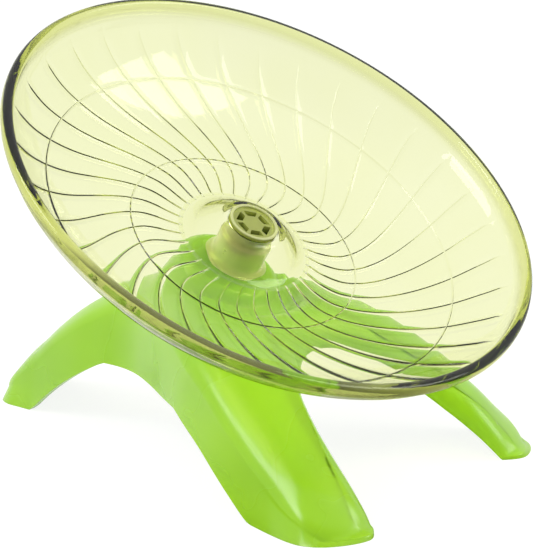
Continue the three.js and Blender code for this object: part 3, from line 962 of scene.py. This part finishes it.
    def build(self, material: bpy.types.Material) -> bpy.types.Object:
        """Models one rib's pitch of the dish and spins it round the axle.

        Args:
            material: The dish's material.

        Returns:
            The dish.
        """
        rows = self.section()
        columns = len(self.crest) + self.gaps
        deselect()
        bpy.ops.mesh.primitive_grid_add(x_subdivisions=columns - 1, y_subdivisions=len(rows) - 1, size=2)
        piece = bpy.context.object
        piece.name = "clear_dish"
        points = np.array([self.pitch_points(row) for row in rows])
        places = np.array([vertex.co for vertex in piece.data.vertices])
        across = np.rint((places[:, 0] + 1) / 2 * (columns - 1)).astype(int)
        along = np.rint((places[:, 1] + 1) / 2 * (len(rows) - 1)).astype(int)
        piece.data.vertices.foreach_set("co", points[along, across].ravel())
        bpy.ops.object.mode_set(mode="EDIT")
        bpy.ops.mesh.select_all(action="SELECT")
        copies = self.rib_count - 1
        bpy.ops.mesh.spin(
            steps=copies, dupli=True, angle=2 * math.pi * copies / self.rib_count,
            center=(0, 0, 0), axis=(0, 0, 1))
        weld_and_face_out()
        bpy.ops.object.mode_set(mode="OBJECT")
        smooth(piece, degrees=50)
        settle(piece, AXLE_FRAME @ Matrix.Translation((0, 0, self.rim_height)))
        dress(piece, material, Body.SPINNER, "saucer")
        return piece


# Hub


@dataclass
class Hub:
    """The webbed plug in the dish's middle and the frosted sleeve below it."""

    rim_height: float = 36.0
    top: float = -17.7
    plug_ring: float = 8.3
    plug_proud: float = 1.0
    plug_body: float = 6.6
    plug_floor: float = 1.0
    plug_rounds: dict = field(default_factory=lambda: {5: 0.4, 8: 0.35, 9: 0.35, 10: 0.25})
    ring_seat: float = 0.7
    ring_width: float = 1.1
    ring_rise: float = 0.8
    stem_radii: tuple = (1.8, 2.6)
    stem_foot: float = 9.9
    axle_grip: float = 4.5
    pocket_radii: tuple = (3.7, 6.0)
    pocket_depth: float = 5.0
    pocket_count: int = 6
    pocket_round: float = 0.35
    cut_clearance: float = 1.0
    web: float = 1.1
    sleeve_neck: float = 7.3
    sleeve_shoulder: float = 8.5
    sleeve_flange: float = 10.6
    sleeve_top: float = 2.1
    sleeve_drop: float = 5.6
    sleeve_foot: float = 2.3
    sleeve_wall: float = 0.9
    neck_wall: float = 0.4
    shoulder_fall: float = 0.8
    flare: tuple = (2.6, 2.4)
    flange_edge: float = 0.9
    sleeve_rounds: dict = field(default_factory=lambda: {
        1: 0.15, 2: 0.5, 3: 0.6, 4: 1.4, 5: 0.3, 6: 0.3, 7: 0.3, 8: 0.6, 9: 0.4})

    def place(self) -> Matrix:
        """The rim frame."""
        return AXLE_FRAME @ Matrix.Translation((0, 0, self.rim_height))

    def build_plug(self, material: bpy.types.Material) -> bpy.types.Object:
        """Models the webbed plug, with its ring, pockets and stem.

        Args:
            material: The plug's material.

        Returns:
            The plug.
        """
        top = self.top + self.plug_proud
        face, seat = top - self.ring_rise, self.top - self.ring_seat
        base = top - self.pocket_depth - self.plug_floor
        grip, stem = base + self.axle_grip, self.stem_foot - self.rim_height
        bore, skin = self.stem_radii
        crest = self.plug_ring - self.ring_width
        profile = [
            (0, grip), (bore, grip), (bore, stem), (skin, stem), (skin, base), (self.plug_body, base),
            (self.plug_body, seat), (self.plug_ring, seat), (self.plug_ring, top),
            (crest, top), (crest, face), (0, face),
        ]
        piece = turned("hub_plug_clear", softened(profile, self.plug_rounds), facets=96)
        inner, outer = self.pocket_radii
        half = math.pi / self.pocket_count - self.web / (inner + outer)
        deselect()
        bpy.ops.mesh.primitive_circle_add(vertices=4, radius=1, fill_type="NGON")
        cutter = bpy.context.object
        corners = [(inner, -half), (outer, -half), (outer, half), (inner, half)]
        for vertex, (radius, angle) in zip(cutter.data.vertices, corners):
            vertex.co = (radius * math.cos(angle), radius * math.sin(angle), top - self.pocket_depth)
        bpy.ops.object.mode_set(mode="EDIT")
        bpy.ops.mesh.select_all(action="SELECT")
        lift = (0, 0, self.pocket_depth + self.cut_clearance)
        bpy.ops.mesh.extrude_region_move(TRANSFORM_OT_translate={"value": lift})
        bpy.ops.mesh.select_all(action="SELECT")
        bpy.ops.mesh.normals_make_consistent(inside=False)
        bpy.ops.mesh.bevel(offset=self.pocket_round, segments=3, affect="EDGES")
        bpy.ops.mesh.select_all(action="SELECT")
        copies = self.pocket_count - 1
        bpy.ops.mesh.spin(
            steps=copies, dupli=True, angle=2 * math.pi * copies / self.pocket_count,
            center=(0, 0, 0), axis=(0, 0, 1))
        bpy.ops.object.mode_set(mode="OBJECT")
        combine(piece, cutter, Join.CUT)
        smooth(piece, degrees=35)
        settle(piece, self.place())
        dress(piece, material, Body.SPINNER, "hub_plug")
        return piece

    def build_sleeve(self, material: bpy.types.Material) -> bpy.types.Object:
        """Models the bell shaped sleeve with its flange.

        Args:
            material: The sleeve's material.

        Returns:
            The sleeve.
        """
        neck, shoulder, flange = self.sleeve_neck, self.sleeve_shoulder, self.sleeve_flange
        top, drop = self.top - self.sleeve_top, self.top - self.sleeve_drop
        base = self.sleeve_foot - self.rim_height
        inside, throat, fall = shoulder - self.sleeve_wall, neck - self.neck_wall, self.shoulder_fall
        outer_flare, inner_flare = self.flare
        profile = [
            (throat, top), (neck, top), (neck, drop + fall), (shoulder, drop),
            (shoulder, base + outer_flare), (flange, base + self.flange_edge),
            (flange, base), (shoulder, base), (inside, base + inner_flare),
            (inside, drop - fall), (throat, drop),
        ]
        piece = turned("hub_sleeve_frosted", softened(profile, self.sleeve_rounds), facets=128)
        smooth(piece, degrees=45)
        settle(piece, self.place())
        dress(piece, material, Body.SPINNER, "hub_sleeve")
        return piece


# Axle and bearings


@dataclass
class Bearings:
    """The axle and the races of both ball bearings, in the axle frame."""

    axle_radius: float = 1.5
    axle_span: tuple = (-11.0, 16.7)
    groove: tuple = (-9.2, -8.0)
    groove_radius: float = 1.0
    width: float = 4.0
    bases: dict = field(default_factory=lambda: {"upper": 4.7, "lower": -8.0})
    ball_circle: float = 3.25
    groove_reach: float = 0.99
    arc_reach: float = 0.76
    arc_steps: int = 6
    inner_radii: tuple = (1.7, 2.7)
    outer_radii: tuple = (5.0, 3.85)
    plain_round: float = 0.25
    land_round: float = 0.2
    axle_round: float = 0.3
    groove_play: float = 0.3

    def build_axle(self, material: bpy.types.Material) -> None:
        """Turns the axle, with its groove and rounded ends.

        Args:
            material: The axle's steel.
        """
        low, high = self.axle_span
        foot, head = self.groove
        foot -= self.groove_play
        radius, waist = self.axle_radius, self.groove_radius
        profile = [
            (0, low), (radius, low), (radius, foot), (waist, foot),
            (waist, head), (radius, head), (radius, high), (0, high),
        ]
        ends = {1: self.axle_round, 6: self.axle_round}
        piece = turned("steel_axle", softened(profile, ends), facets=48)
        smooth(piece, degrees=35)
        settle(piece, AXLE_FRAME)
        dress(piece, material, Body.SPINNER, "axle")

    def build_race(self, place: str, side: Side, body: Body, material: bpy.types.Material) -> None:
        """Turns one race, with its ball groove and rounded corners.

        Args:
            place: Which bearing it belongs to, upper or lower.
            side: Which race it is.
            body: The body that it rides on.
            material: Its steel.
        """
        plain, land = self.inner_radii if side is Side.INNER else self.outer_radii
        sign = 1 if side is Side.OUTER else -1
        base = self.bases[place]
        head, middle = base + self.width, base + self.width / 2
        arc = []
        for step in range(self.arc_steps + 1):
            share = step / self.arc_steps * 2 - 1
            depth = self.groove_reach * math.sqrt(1 - (share * self.arc_reach / self.groove_reach) ** 2)
            arc.append((self.ball_circle + sign * depth, middle + share * self.arc_reach))
        profile = [(plain, base), (land, base), *arc, (land, head), (plain, head)]
        last = len(profile) - 1
        rounds = {0: self.plain_round, last: self.plain_round}
        rounds |= {1: self.land_round, last - 1: self.land_round}
        piece = turned(f"{place}_{side.value}_ring", softened(profile, rounds), facets=64)
        smooth(piece, degrees=30)
        settle(piece, AXLE_FRAME)
        dress(piece, material, body, f"{place}_{side.value}_race")

    def build(self, axle_steel: bpy.types.Material, race_steel: bpy.types.Material) -> None:
        """Makes the axle and all four races.

        Args:
            axle_steel: The axle's material.
            race_steel: The races' material.
        """
        self.build_axle(axle_steel)
        for place in self.bases:
            self.build_race(place, Side.INNER, Body.SPINNER, race_steel)
            self.build_race(place, Side.OUTER, Body.STAND, race_steel)


# Stand


@dataclass
class Stand:
    """The green stand in one moulding, in the stand frame."""

    height: float = 60.8
    reach: float = 109.0
    wall: float = 2.4
    face_radius: float = 13.2
    shoulder_radius: float = 17.5
    shoulder_drop: float = 3.2
    skirt_radius: float = 19.8
    skirt_drop: float = 16.0
    crown_setback: float = 8.4
    crown_radius: float = 149.4
    crown_inset: float = 18.9
    crown_depth: float = 90.25
    leg_swell: float = 1.8
    swell_height: float = 24.0
    side_skirt: float = 22.2
    side_arch: float = 24.0
    notch_skirt: float = 7.0
    notch_arch: float = 38.0
    side_edge: float = 2.4
    notch_edge: float = 7.0
    side_draft: float = 2.6
    side_fall: float = 8.0
    fall_reach: float = 14.0
    fall_fade: tuple = (4.0, 17.3)
    dish_relief: float = 5.8
    boss_blend: float = 3.0
    toe_wall: float = 1.0
    toe_height: float = 2.6
    toe_blend: float = 4.0
    rear_skirt: tuple = (107.0, 0.38)
    front_skirt: tuple = (55.5, 0.95)
    foot_trim: float = 0.0745
    foot_points: tuple = (3.5, 8, 12, 16.5)
    left_stretch: tuple = (35, 80)
    post: tuple = (6.6, 8.7)
    tube: tuple = (7.4, -10.0)
    seat_radius: float = 5.3
    bore_radius: float = 3.5
    seats: tuple = (-3.7, 4.4)
    post_ledge: float = -0.5
    post_rounds: dict = field(default_factory=lambda: {1: 0.3, 4: 0.5})
    cut_clearance: float = 1.0
    search_steps: int = 120
    halvings: int = 16
    batch: int = 2000
    wall_shares: tuple = (0.12, 0.5, 0.88, 1.0)
    edge_steps: int = 8
    edge_rise: float = 0.2
    lip_rise: float = 3.0
    inner_share: float = 0.5
    crown_rings: int = 27
    boss_rings: int = 40
    fold: tuple = (8, 12)
    substeps: int = 6
    outline_shares: tuple = (
        (0, -0.315), (0.064, -0.327), (0.128, -0.367), (0.182, -0.426), (0.229, -0.518),
        (0.265, -0.616), (0.292, -0.703), (0.32, -0.776), (0.349, -0.821), (0.395, -0.85),
        (0.453, -0.832), (0.508, -0.787), (0.536, -0.734), (0.539, -0.678), (0.522, -0.586),
        (0.49, -0.462), (0.455, -0.339), (0.418, -0.234), (0.372, -0.115), (0.306, 0.014),
        (0.235, 0.142), (0.181, 0.257), (0.158, 0.353), (0.158, 0.461), (0.162, 0.564),
        (0.159, 0.67), (0.155, 0.768), (0.153, 0.846), (0.15, 0.908), (0.124, 0.958),
        (0.066, 0.984), (0, 1))
    boss_shares: tuple = (
        (0.75, 0.62, 0.62), (0.88, 0.72, 0.79), (1, 0.82, 0.93), (1.07, 0.89, 1.11),
        (1.14, 0.96, 1.31), (1.23, 1.03, 1.51))

    def __post_init__(self) -> None:
        """Works out the outline on the floor, its inward direction and its share of the side."""
        half = np.array(self.outline_shares) * self.reach
        mirrored = half[1:-1][::-1] * (-1, 1)
        ring = np.concatenate([half, mirrored])
        count = len(ring)
        spots = np.arange(count * self.substeps) / self.substeps
        base = spots.astype(int)
        share = (spots - base)[:, None]
        before, start, end, after = (ring[(base + step) % count] for step in (-1, 0, 1, 2))
        self.outline = 0.5 * (
            2 * start + (end - before) * share
            + (2 * before - 5 * start + 4 * end - after) * share ** 2
            + (3 * start - before - 3 * end + after) * share ** 3)
        along = np.roll(self.outline, -1, axis=0) - np.roll(self.outline, 1, axis=0)
        along /= np.linalg.norm(along, axis=1)[:, None]
        self.inward = np.stack([-along[:, 1], along[:, 0]], axis=1)
        place = np.minimum(spots, count - spots)
        self.side = self.step(place, *self.fold)
        notch_end, toe_start, toe_end, side_start = self.foot_points
        foot = self.step(spots, notch_end, toe_start) * (1 - self.step(spots, toe_end, side_start))
        self.outline *= (1 - self.foot_trim * foot)[:, None]

    @staticmethod
    def step(value: np.ndarray, low: float, high: float) -> np.ndarray:
        """Works out a smooth step.

        Args:
            value: Where to take it.
            low: The value at which it is 0.
            high: The value at which it is 1.

        Returns:
            The step's share.
        """
        share = np.clip((value - low) / (high - low), 0, 1)
        return share * share * (3 - 2 * share)

    @staticmethod
    def soft_low(first: np.ndarray, second: np.ndarray, width: float) -> np.ndarray:
        """Takes the lesser of two heights, with a soft change from one to the other.

        Args:
            first: A height.
            second: A height.
            width: The difference below which they blend.

        Returns:
            The blended height.
        """
        share = np.maximum(width - np.abs(first - second), 0) / width
        return np.minimum(first, second) - share * share * width / 4

    def boss_drop(self, radius: np.ndarray) -> np.ndarray:
        """Works out the boss's own form.

        Args:
            radius: Distance from the axle.

        Returns:
            How far its skin lies below its face there.
        """
        share = np.clip((radius - self.face_radius) / (self.shoulder_radius - self.face_radius), 0, 1)
        slope = (self.skirt_drop - self.shoulder_drop) / (self.skirt_radius - self.shoulder_radius)
        return self.shoulder_drop * share ** 2 + np.maximum(radius - self.shoulder_radius, 0) * slope

    def boss_skin(self, places: np.ndarray) -> np.ndarray:
        """Finds the tilted boss's skin, searched from its face down.

        Args:
            places: Places on the floor.

        Returns:
            The skin's height above each, or 0 outside the boss.
        """
        sine, cosine = math.sin(TILT), math.cos(TILT)
        reach = 2 * self.skirt_drop

        def across(depth: np.ndarray) -> np.ndarray:
            """Tells how far each place lies across the axle at a depth."""
            return (places[:, 1] - depth * sine) / cosine

        def gap(depth: np.ndarray) -> np.ndarray:
            """Tells how far a depth is past the skin's."""
            return depth - self.boss_drop(np.hypot(places[:, 0], across(depth)))

        depth = np.zeros(len(places))
        step = reach / self.search_steps
        for _ in range(self.search_steps + 1):
            depth = np.where((gap(depth) < 0) & (depth < reach), depth + step, depth)
        outside = gap(depth) < 0
        low = np.maximum(depth - step, 0)
        for _ in range(self.halvings):
            middle = (low + depth) / 2
            inside = gap(middle) >= 0
            depth = np.where(inside, middle, depth)
            low = np.where(inside, low, middle)
        skin = self.height + across(depth) * sine - depth * cosine
        return np.where(outside, 0, skin)

    def outer_fall(self, places: np.ndarray) -> np.ndarray:
        """Works out how far the upper face falls away near the outer sides.

        Args:
            places: Places on the floor.

        Returns:
            The fall at each.
        """
        start, run = self.outline, np.roll(self.outline, -1, axis=0) - self.outline
        fall = np.zeros(len(places))
        for first in range(0, len(places), self.batch):
            part = slice(first, first + self.batch)
            gap = places[part, None, :] - start[None, :, :]
            along = np.clip((gap * run).sum(2) / (run * run).sum(1), 0, 1)
            distance = np.linalg.norm(gap - along[..., None] * run, axis=2)
            share = np.maximum(0, 1 - distance / self.fall_reach)
            fall[part] = (self.side_fall * self.side * share ** 2).max(axis=1)
        return fall

    def top(self, places: np.ndarray) -> np.ndarray:
        """Works out the stand's upper face.

        Args:
            places: Places on the floor.

        Returns:
            The face's height above each.
        """
        x, y = places[:, 0], places[:, 1]
        shrink = 1 - self.foot_trim * self.step(-y, *self.left_stretch) * (x < 0)
        reach = np.hypot(x * shrink, y * shrink - self.crown_setback) + self.crown_inset
        crown = np.sqrt(np.maximum(self.crown_radius ** 2 - reach ** 2, 0)) - self.crown_depth
        crown += self.leg_swell * np.sin(np.pi * np.clip(crown / self.swell_height, 0.5, 1))
        leg = crown - self.outer_fall(places) * self.step(crown, *self.fall_fade)
        leg = -self.soft_low(-leg, np.full_like(leg, -self.toe_height), self.toe_blend)
        across = np.hypot(x, y / math.cos(TILT))
        share = self.step(across, self.shoulder_radius, 2 * self.shoulder_radius)
        relief = -self.shoulder_drop + (self.dish_relief + self.shoulder_drop) * share
        ceiling = self.height + (relief + math.sin(TILT) * y) / math.cos(TILT)
        body = self.soft_low(leg, ceiling, self.boss_blend)
        return -self.soft_low(-body, -self.boss_skin(places), self.boss_blend)

    def foot_height(self) -> np.ndarray:
        """Works out the stand's lower edge.

        Returns:
            Its height at each point of the outline.
        """
        side = self.side
        skirt = self.notch_skirt + (self.side_skirt - self.notch_skirt) * side
        arch = self.notch_arch + (self.side_arch - self.notch_arch) * side
        crown_here = self.top(self.outline) + self.side_fall * side
        rear_reach, rear_slope = self.rear_skirt
        front_start, front_rise = self.front_skirt
        rear_skirt = (rear_reach - self.outline[:, 1]) * rear_slope
        front_skirt = (front_start + self.outline[:, 1]) * front_rise
        far_skirt = np.where(self.outline[:, 0] > 0, np.minimum(rear_skirt, front_skirt), 0)
        return np.clip(np.maximum(crown_here - skirt, far_skirt), 0, arch)

    def rings(self, sink: float, inset: float) -> list[np.ndarray]:
        """The rings of the outer or inner skin, from the foot to the middle of the boss.

        Args:
            sink: How far the skin lies below the upper face.
            inset: How far its foot lies inside the outline.

        Returns:
            The rings, each an array of points.
        """
        low = self.foot_height()
        edge = self.notch_edge + (self.side_edge - self.notch_edge) * self.side
        draft = self.side_draft * self.side
        least = 1 if sink == 0 else self.inner_share
        made = []

        def add(place: np.ndarray, height: np.ndarray) -> None:
            """Adds one ring."""
            made.append(np.column_stack([place, height]))

        foot = self.outline + self.inward * inset
        add(foot, low)
        shoulder = self.outline + self.inward * (inset + draft)[:, None]
        shoulder_height = np.maximum(self.top(shoulder) - sink - edge, low + self.toe_wall * least)
        for share in self.wall_shares:
            add(foot + (shoulder - foot) * share, low + (shoulder_height - low) * share)
        for step in range(1, self.edge_steps + 1):
            share = 1 - math.cos(step / self.edge_steps * math.pi / 2)
            place = self.outline + self.inward * (inset + draft + share * edge)[:, None]
            rounding = edge * (1 - math.sqrt(1 - (1 - share) ** 2))
            floor = shoulder_height + (self.edge_rise * step * least)
            add(place, np.maximum(self.top(place) - sink - rounding, floor))
        lip = made[-1][:, :2]
        angle = np.arctan2(self.outline[:, 1], self.outline[:, 0])
        floor = low + self.toe_wall * self.lip_rise - sink / 2
        for share in np.linspace(0, 1, self.crown_rings)[1:]:
            place = lip + (self.boss_ring(1, angle) - lip) * share
            add(place, np.maximum(self.top(place) - sink, floor))
        for share in np.linspace(1, 0, self.boss_rings)[1:-1]:
            place = self.boss_ring(share, angle)
            add(place, self.top(place) - sink)
        return made

    def boss_ring(self, share: float, angle: np.ndarray) -> np.ndarray:
        """Draws one ring round the boss.

        Args:
            share: Which ring, from the middle at 0 to the boss's foot at 1.
            angle: The directions of its points.

        Returns:
            The points on the floor.
        """
        shares = np.array([(0.0, 0.0, 0.0), *self.boss_shares])
        spots = np.linspace(0, 1, len(shares))
        wide, front, back = (np.interp(share, spots, shares[:, axis]) for axis in range(3))
        x = self.shoulder_radius * wide * np.cos(angle)
        y = self.shoulder_radius * ((back - front) / 2 + (back + front) / 2 * np.sin(angle))
        return np.stack([x, y], axis=1)

    def build(self, material: bpy.types.Material) -> bpy.types.Object:
        """Models the shell, joins its bearing post and cuts the bearing seats.

        Args:
            material: The stand's material.

        Returns:
            The stand.
        """
        outer = self.rings(0, 0)
        inner = self.rings(self.wall, self.wall)
        piece = lofted("stand_moulding", outer[::-1] + inner, True)
        settle(piece, STAND_FRAME)
        radius, top = self.post
        tube_radius, foot = self.tube
        ledge = self.post_ledge
        post = turned("post", softened([
            (0, foot), (tube_radius, foot), (tube_radius, ledge), (radius, ledge), (radius, top), (0, top),
        ], self.post_rounds), facets=96)
        settle(post, AXLE_FRAME)
        combine(piece, post, Join.ADD)
        low_seat, high_seat = self.seats
        below, above = foot - self.cut_clearance, top + self.cut_clearance
        seat, through = self.seat_radius, self.bore_radius
        bore = turned("bore", [
            (0, below), (seat, below), (seat, low_seat), (through, low_seat),
            (through, high_seat), (seat, high_seat), (seat, above), (0, above),
        ], facets=96)
        settle(bore, AXLE_FRAME)
        combine(piece, bore, Join.CUT)
        smooth(piece, degrees=58)
        dress(piece, material, Body.STAND, "stand")
        return piece


# Carried over pieces


def dress_nodes(finish: bpy.types.Material, names: list[str]) -> None:
    """Gives CAD nodes that stay a better material.

    Args:
        finish: The material.
        names: The nodes' names.
    """
    for name in names:
        for place in frame["nodes"][name].material_slots:
            place.material = finish
        LOG.info("%s: kept from the frame", name)


# Stage


@dataclass
class UnlitSide:
    """The side of the room where no light stands, met only by rays that a surface has mirrored."""

    space: str
    way: tuple
    drop: float
    span: tuple

    def level(self, tree: Tree) -> bpy.types.NodeSocket:
        """Dims the room's light towards this side.

        Args:
            tree: The tree to add to.

        Returns:
            The share of the full light.
        """
        mirrored = tree.math("MINIMUM", tree.node("LightPath").outputs["Glossy Depth"], 1)
        fall = tree.ramp(tree.along(self.space, self.way), 0, self.drop, *self.span)
        return tree.math("SUBTRACT", 1, tree.math("MULTIPLY", mirrored, fall))


@dataclass
class Lamp:
    """A soft square lamp aimed at the boss, with its place measured from there."""

    name: str
    place: tuple
    size: float
    watts: float

    def build(self) -> None:
        """Sets up the lamp."""
        data = bpy.data.lights.new(self.name, "AREA")
        data.shape = "SQUARE"
        data.size = self.size
        data.energy = self.watts
        lamp = bpy.data.objects.new(self.name, data)
        bpy.context.collection.objects.link(lamp)
        lamp.location = BOSS_FACE + Vector(self.place)
        lamp.rotation_euler = (-Vector(self.place)).to_track_quat("-Z", "Y").to_euler()


@dataclass
class Studio:
    """The pale floor, the soft lights and the camera."""

    camera_from_boss: tuple = (-0.5582, -0.5493, 0.2058)
    camera_degrees: tuple = (74.978, 3.091, -47.09)
    camera_clip: tuple = (0.01, 50)
    lens: float = 163.93
    sky: float = 0.62
    floor_size: float = 6.0
    floor_drop: float = 0.05
    floor_shade: float = 0.8
    faint_shade: float = 0.2
    glow: float = 0.88
    room: UnlitSide = field(default_factory=lambda: UnlitSide(
        "Generated", (-0.69, -0.68, 0.24), 0.62, (0.35, 0.85)))
    ground: UnlitSide = field(default_factory=lambda: UnlitSide(
        "Object", (-0.707, -0.707, 0), 0.97, (-0.03, 0.09)))
    lamps: list = field(default_factory=lambda: [
        Lamp("key_lamp", (-0.9, 0.5, 1.2), 0.8, 11), Lamp("fill_lamp", (0.8, -0.9, 0.9), 0.7, 6)])

    def build_camera(self) -> None:
        """Sets up the camera at the photograph's viewing angle."""
        data = bpy.data.cameras.new("camera")
        data.lens = self.lens
        data.clip_start, data.clip_end = self.camera_clip
        camera = bpy.data.objects.new("camera", data)
        bpy.context.collection.objects.link(camera)
        camera.location = BOSS_FACE + Vector(self.camera_from_boss)
        camera.rotation_euler = tuple(math.radians(angle) for angle in self.camera_degrees)
        bpy.context.scene.camera = camera

    @staticmethod
    def seen(tree: Tree) -> bpy.types.NodeSocket:
        """Tells the rays that see the background: from the camera, a gloss or through plastic.

        Args:
            tree: The tree to add to.

        Returns:
            1 for such a ray, otherwise 0.
        """
        path = tree.node("LightPath").outputs
        shown = tree.math("MAXIMUM", path["Is Camera Ray"], path["Is Glossy Ray"])
        return tree.math("MAXIMUM", shown, path["Is Transmission Ray"])

    @staticmethod
    def white_light(tree: Tree, strength: object) -> bpy.types.NodeSocket:
        """Makes white light from all round.

        Args:
            tree: The tree to add to.
            strength: The light's strength, a number or socket.

        Returns:
            The shader.
        """
        made = tree.node("Background")
        tree.put(made, "Color", (1, 1, 1, 1))
        tree.put(made, "Strength", strength)
        return made.outputs[0]

    @staticmethod
    def matt_grey(tree: Tree, shade: float) -> bpy.types.NodeSocket:
        """Makes a matt surface.

        Args:
            tree: The tree to add to.
            shade: How light its grey is.

        Returns:
            The shader.
        """
        made = tree.node("BsdfDiffuse")
        tree.put(made, "Color", (shade, shade, shade, 1))
        return made.outputs[0]

    def build_world(self) -> None:
        """Makes an even sky, white to the camera and with the unlit side in the gloss."""
        world = bpy.data.worlds.new("world")
        bpy.context.scene.world = world
        tree = Tree(world)
        even = self.white_light(tree, self.sky)
        white = self.white_light(tree, self.room.level(tree))
        output = tree.node("OutputWorld")
        tree.put(output, "Surface", tree.mix(self.seen(tree), even, white))

    def build_floor(self) -> None:
        """Makes a white floor that keeps a faint shadow of the object."""
        deselect()
        bpy.ops.mesh.primitive_plane_add(size=self.floor_size, location=(0, 0, -self.floor_drop * MM))
        floor = bpy.context.object
        floor.name = "floor"
        material = bpy.data.materials.new("floor")
        tree = Tree(material)
        glow = tree.node("Emission")
        tree.put(glow, "Strength", tree.math("MULTIPLY", self.ground.level(tree), self.glow))
        bright = tree.node("AddShader")
        tree.put(bright, 0, glow.outputs[0])
        tree.put(bright, 1, self.matt_grey(tree, self.faint_shade))
        matt = self.matt_grey(tree, self.floor_shade)
        tree.finish(tree.mix(self.seen(tree), matt, bright.outputs[0]))
        floor.data.materials.append(material)

    def build(self) -> None:
        """Makes the stage and sets the view transform."""
        bpy.context.scene.view_settings.view_transform = "Standard"
        self.build_camera()
        self.build_world()
        self.build_floor()
        for lamp in self.lamps:
            lamp.build()


def main() -> None:
    """Builds the saucer, its stand and the stage."""
    logging.basicConfig(level=logging.INFO, format="%(name)s: %(message)s")
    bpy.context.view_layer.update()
    Studio().build()
    Stand().build(GlossyPlastic().material())
    Dish().build(ClearPlastic().material())
    hub = Hub()
    hub.build_plug(PlugPlastic().material())
    hub.build_sleeve(FrostedPlastic().material())
    steel = Metal("polished_steel", linear(196, 198, 202), roughness=0.22).material()
    dark_steel = Metal("sprung_steel", linear(120, 122, 126), roughness=0.35).material()
    brass = Metal("stamped_brass", linear(190, 156, 92), roughness=0.35).material()
    Bearings().build(steel, steel)
    dress_nodes(dark_steel, ["retaining_ring", "bearing_spacer", "thrust_washer"])
    dress_nodes(brass, ["upper_ball_cage", "lower_ball_cage"])
    dress_nodes(steel, [name for name in sorted(frame["nodes"]) if "_ball_" in name and "cage" not in name])
    deselect()


if __name__ == "__main__":
    main()
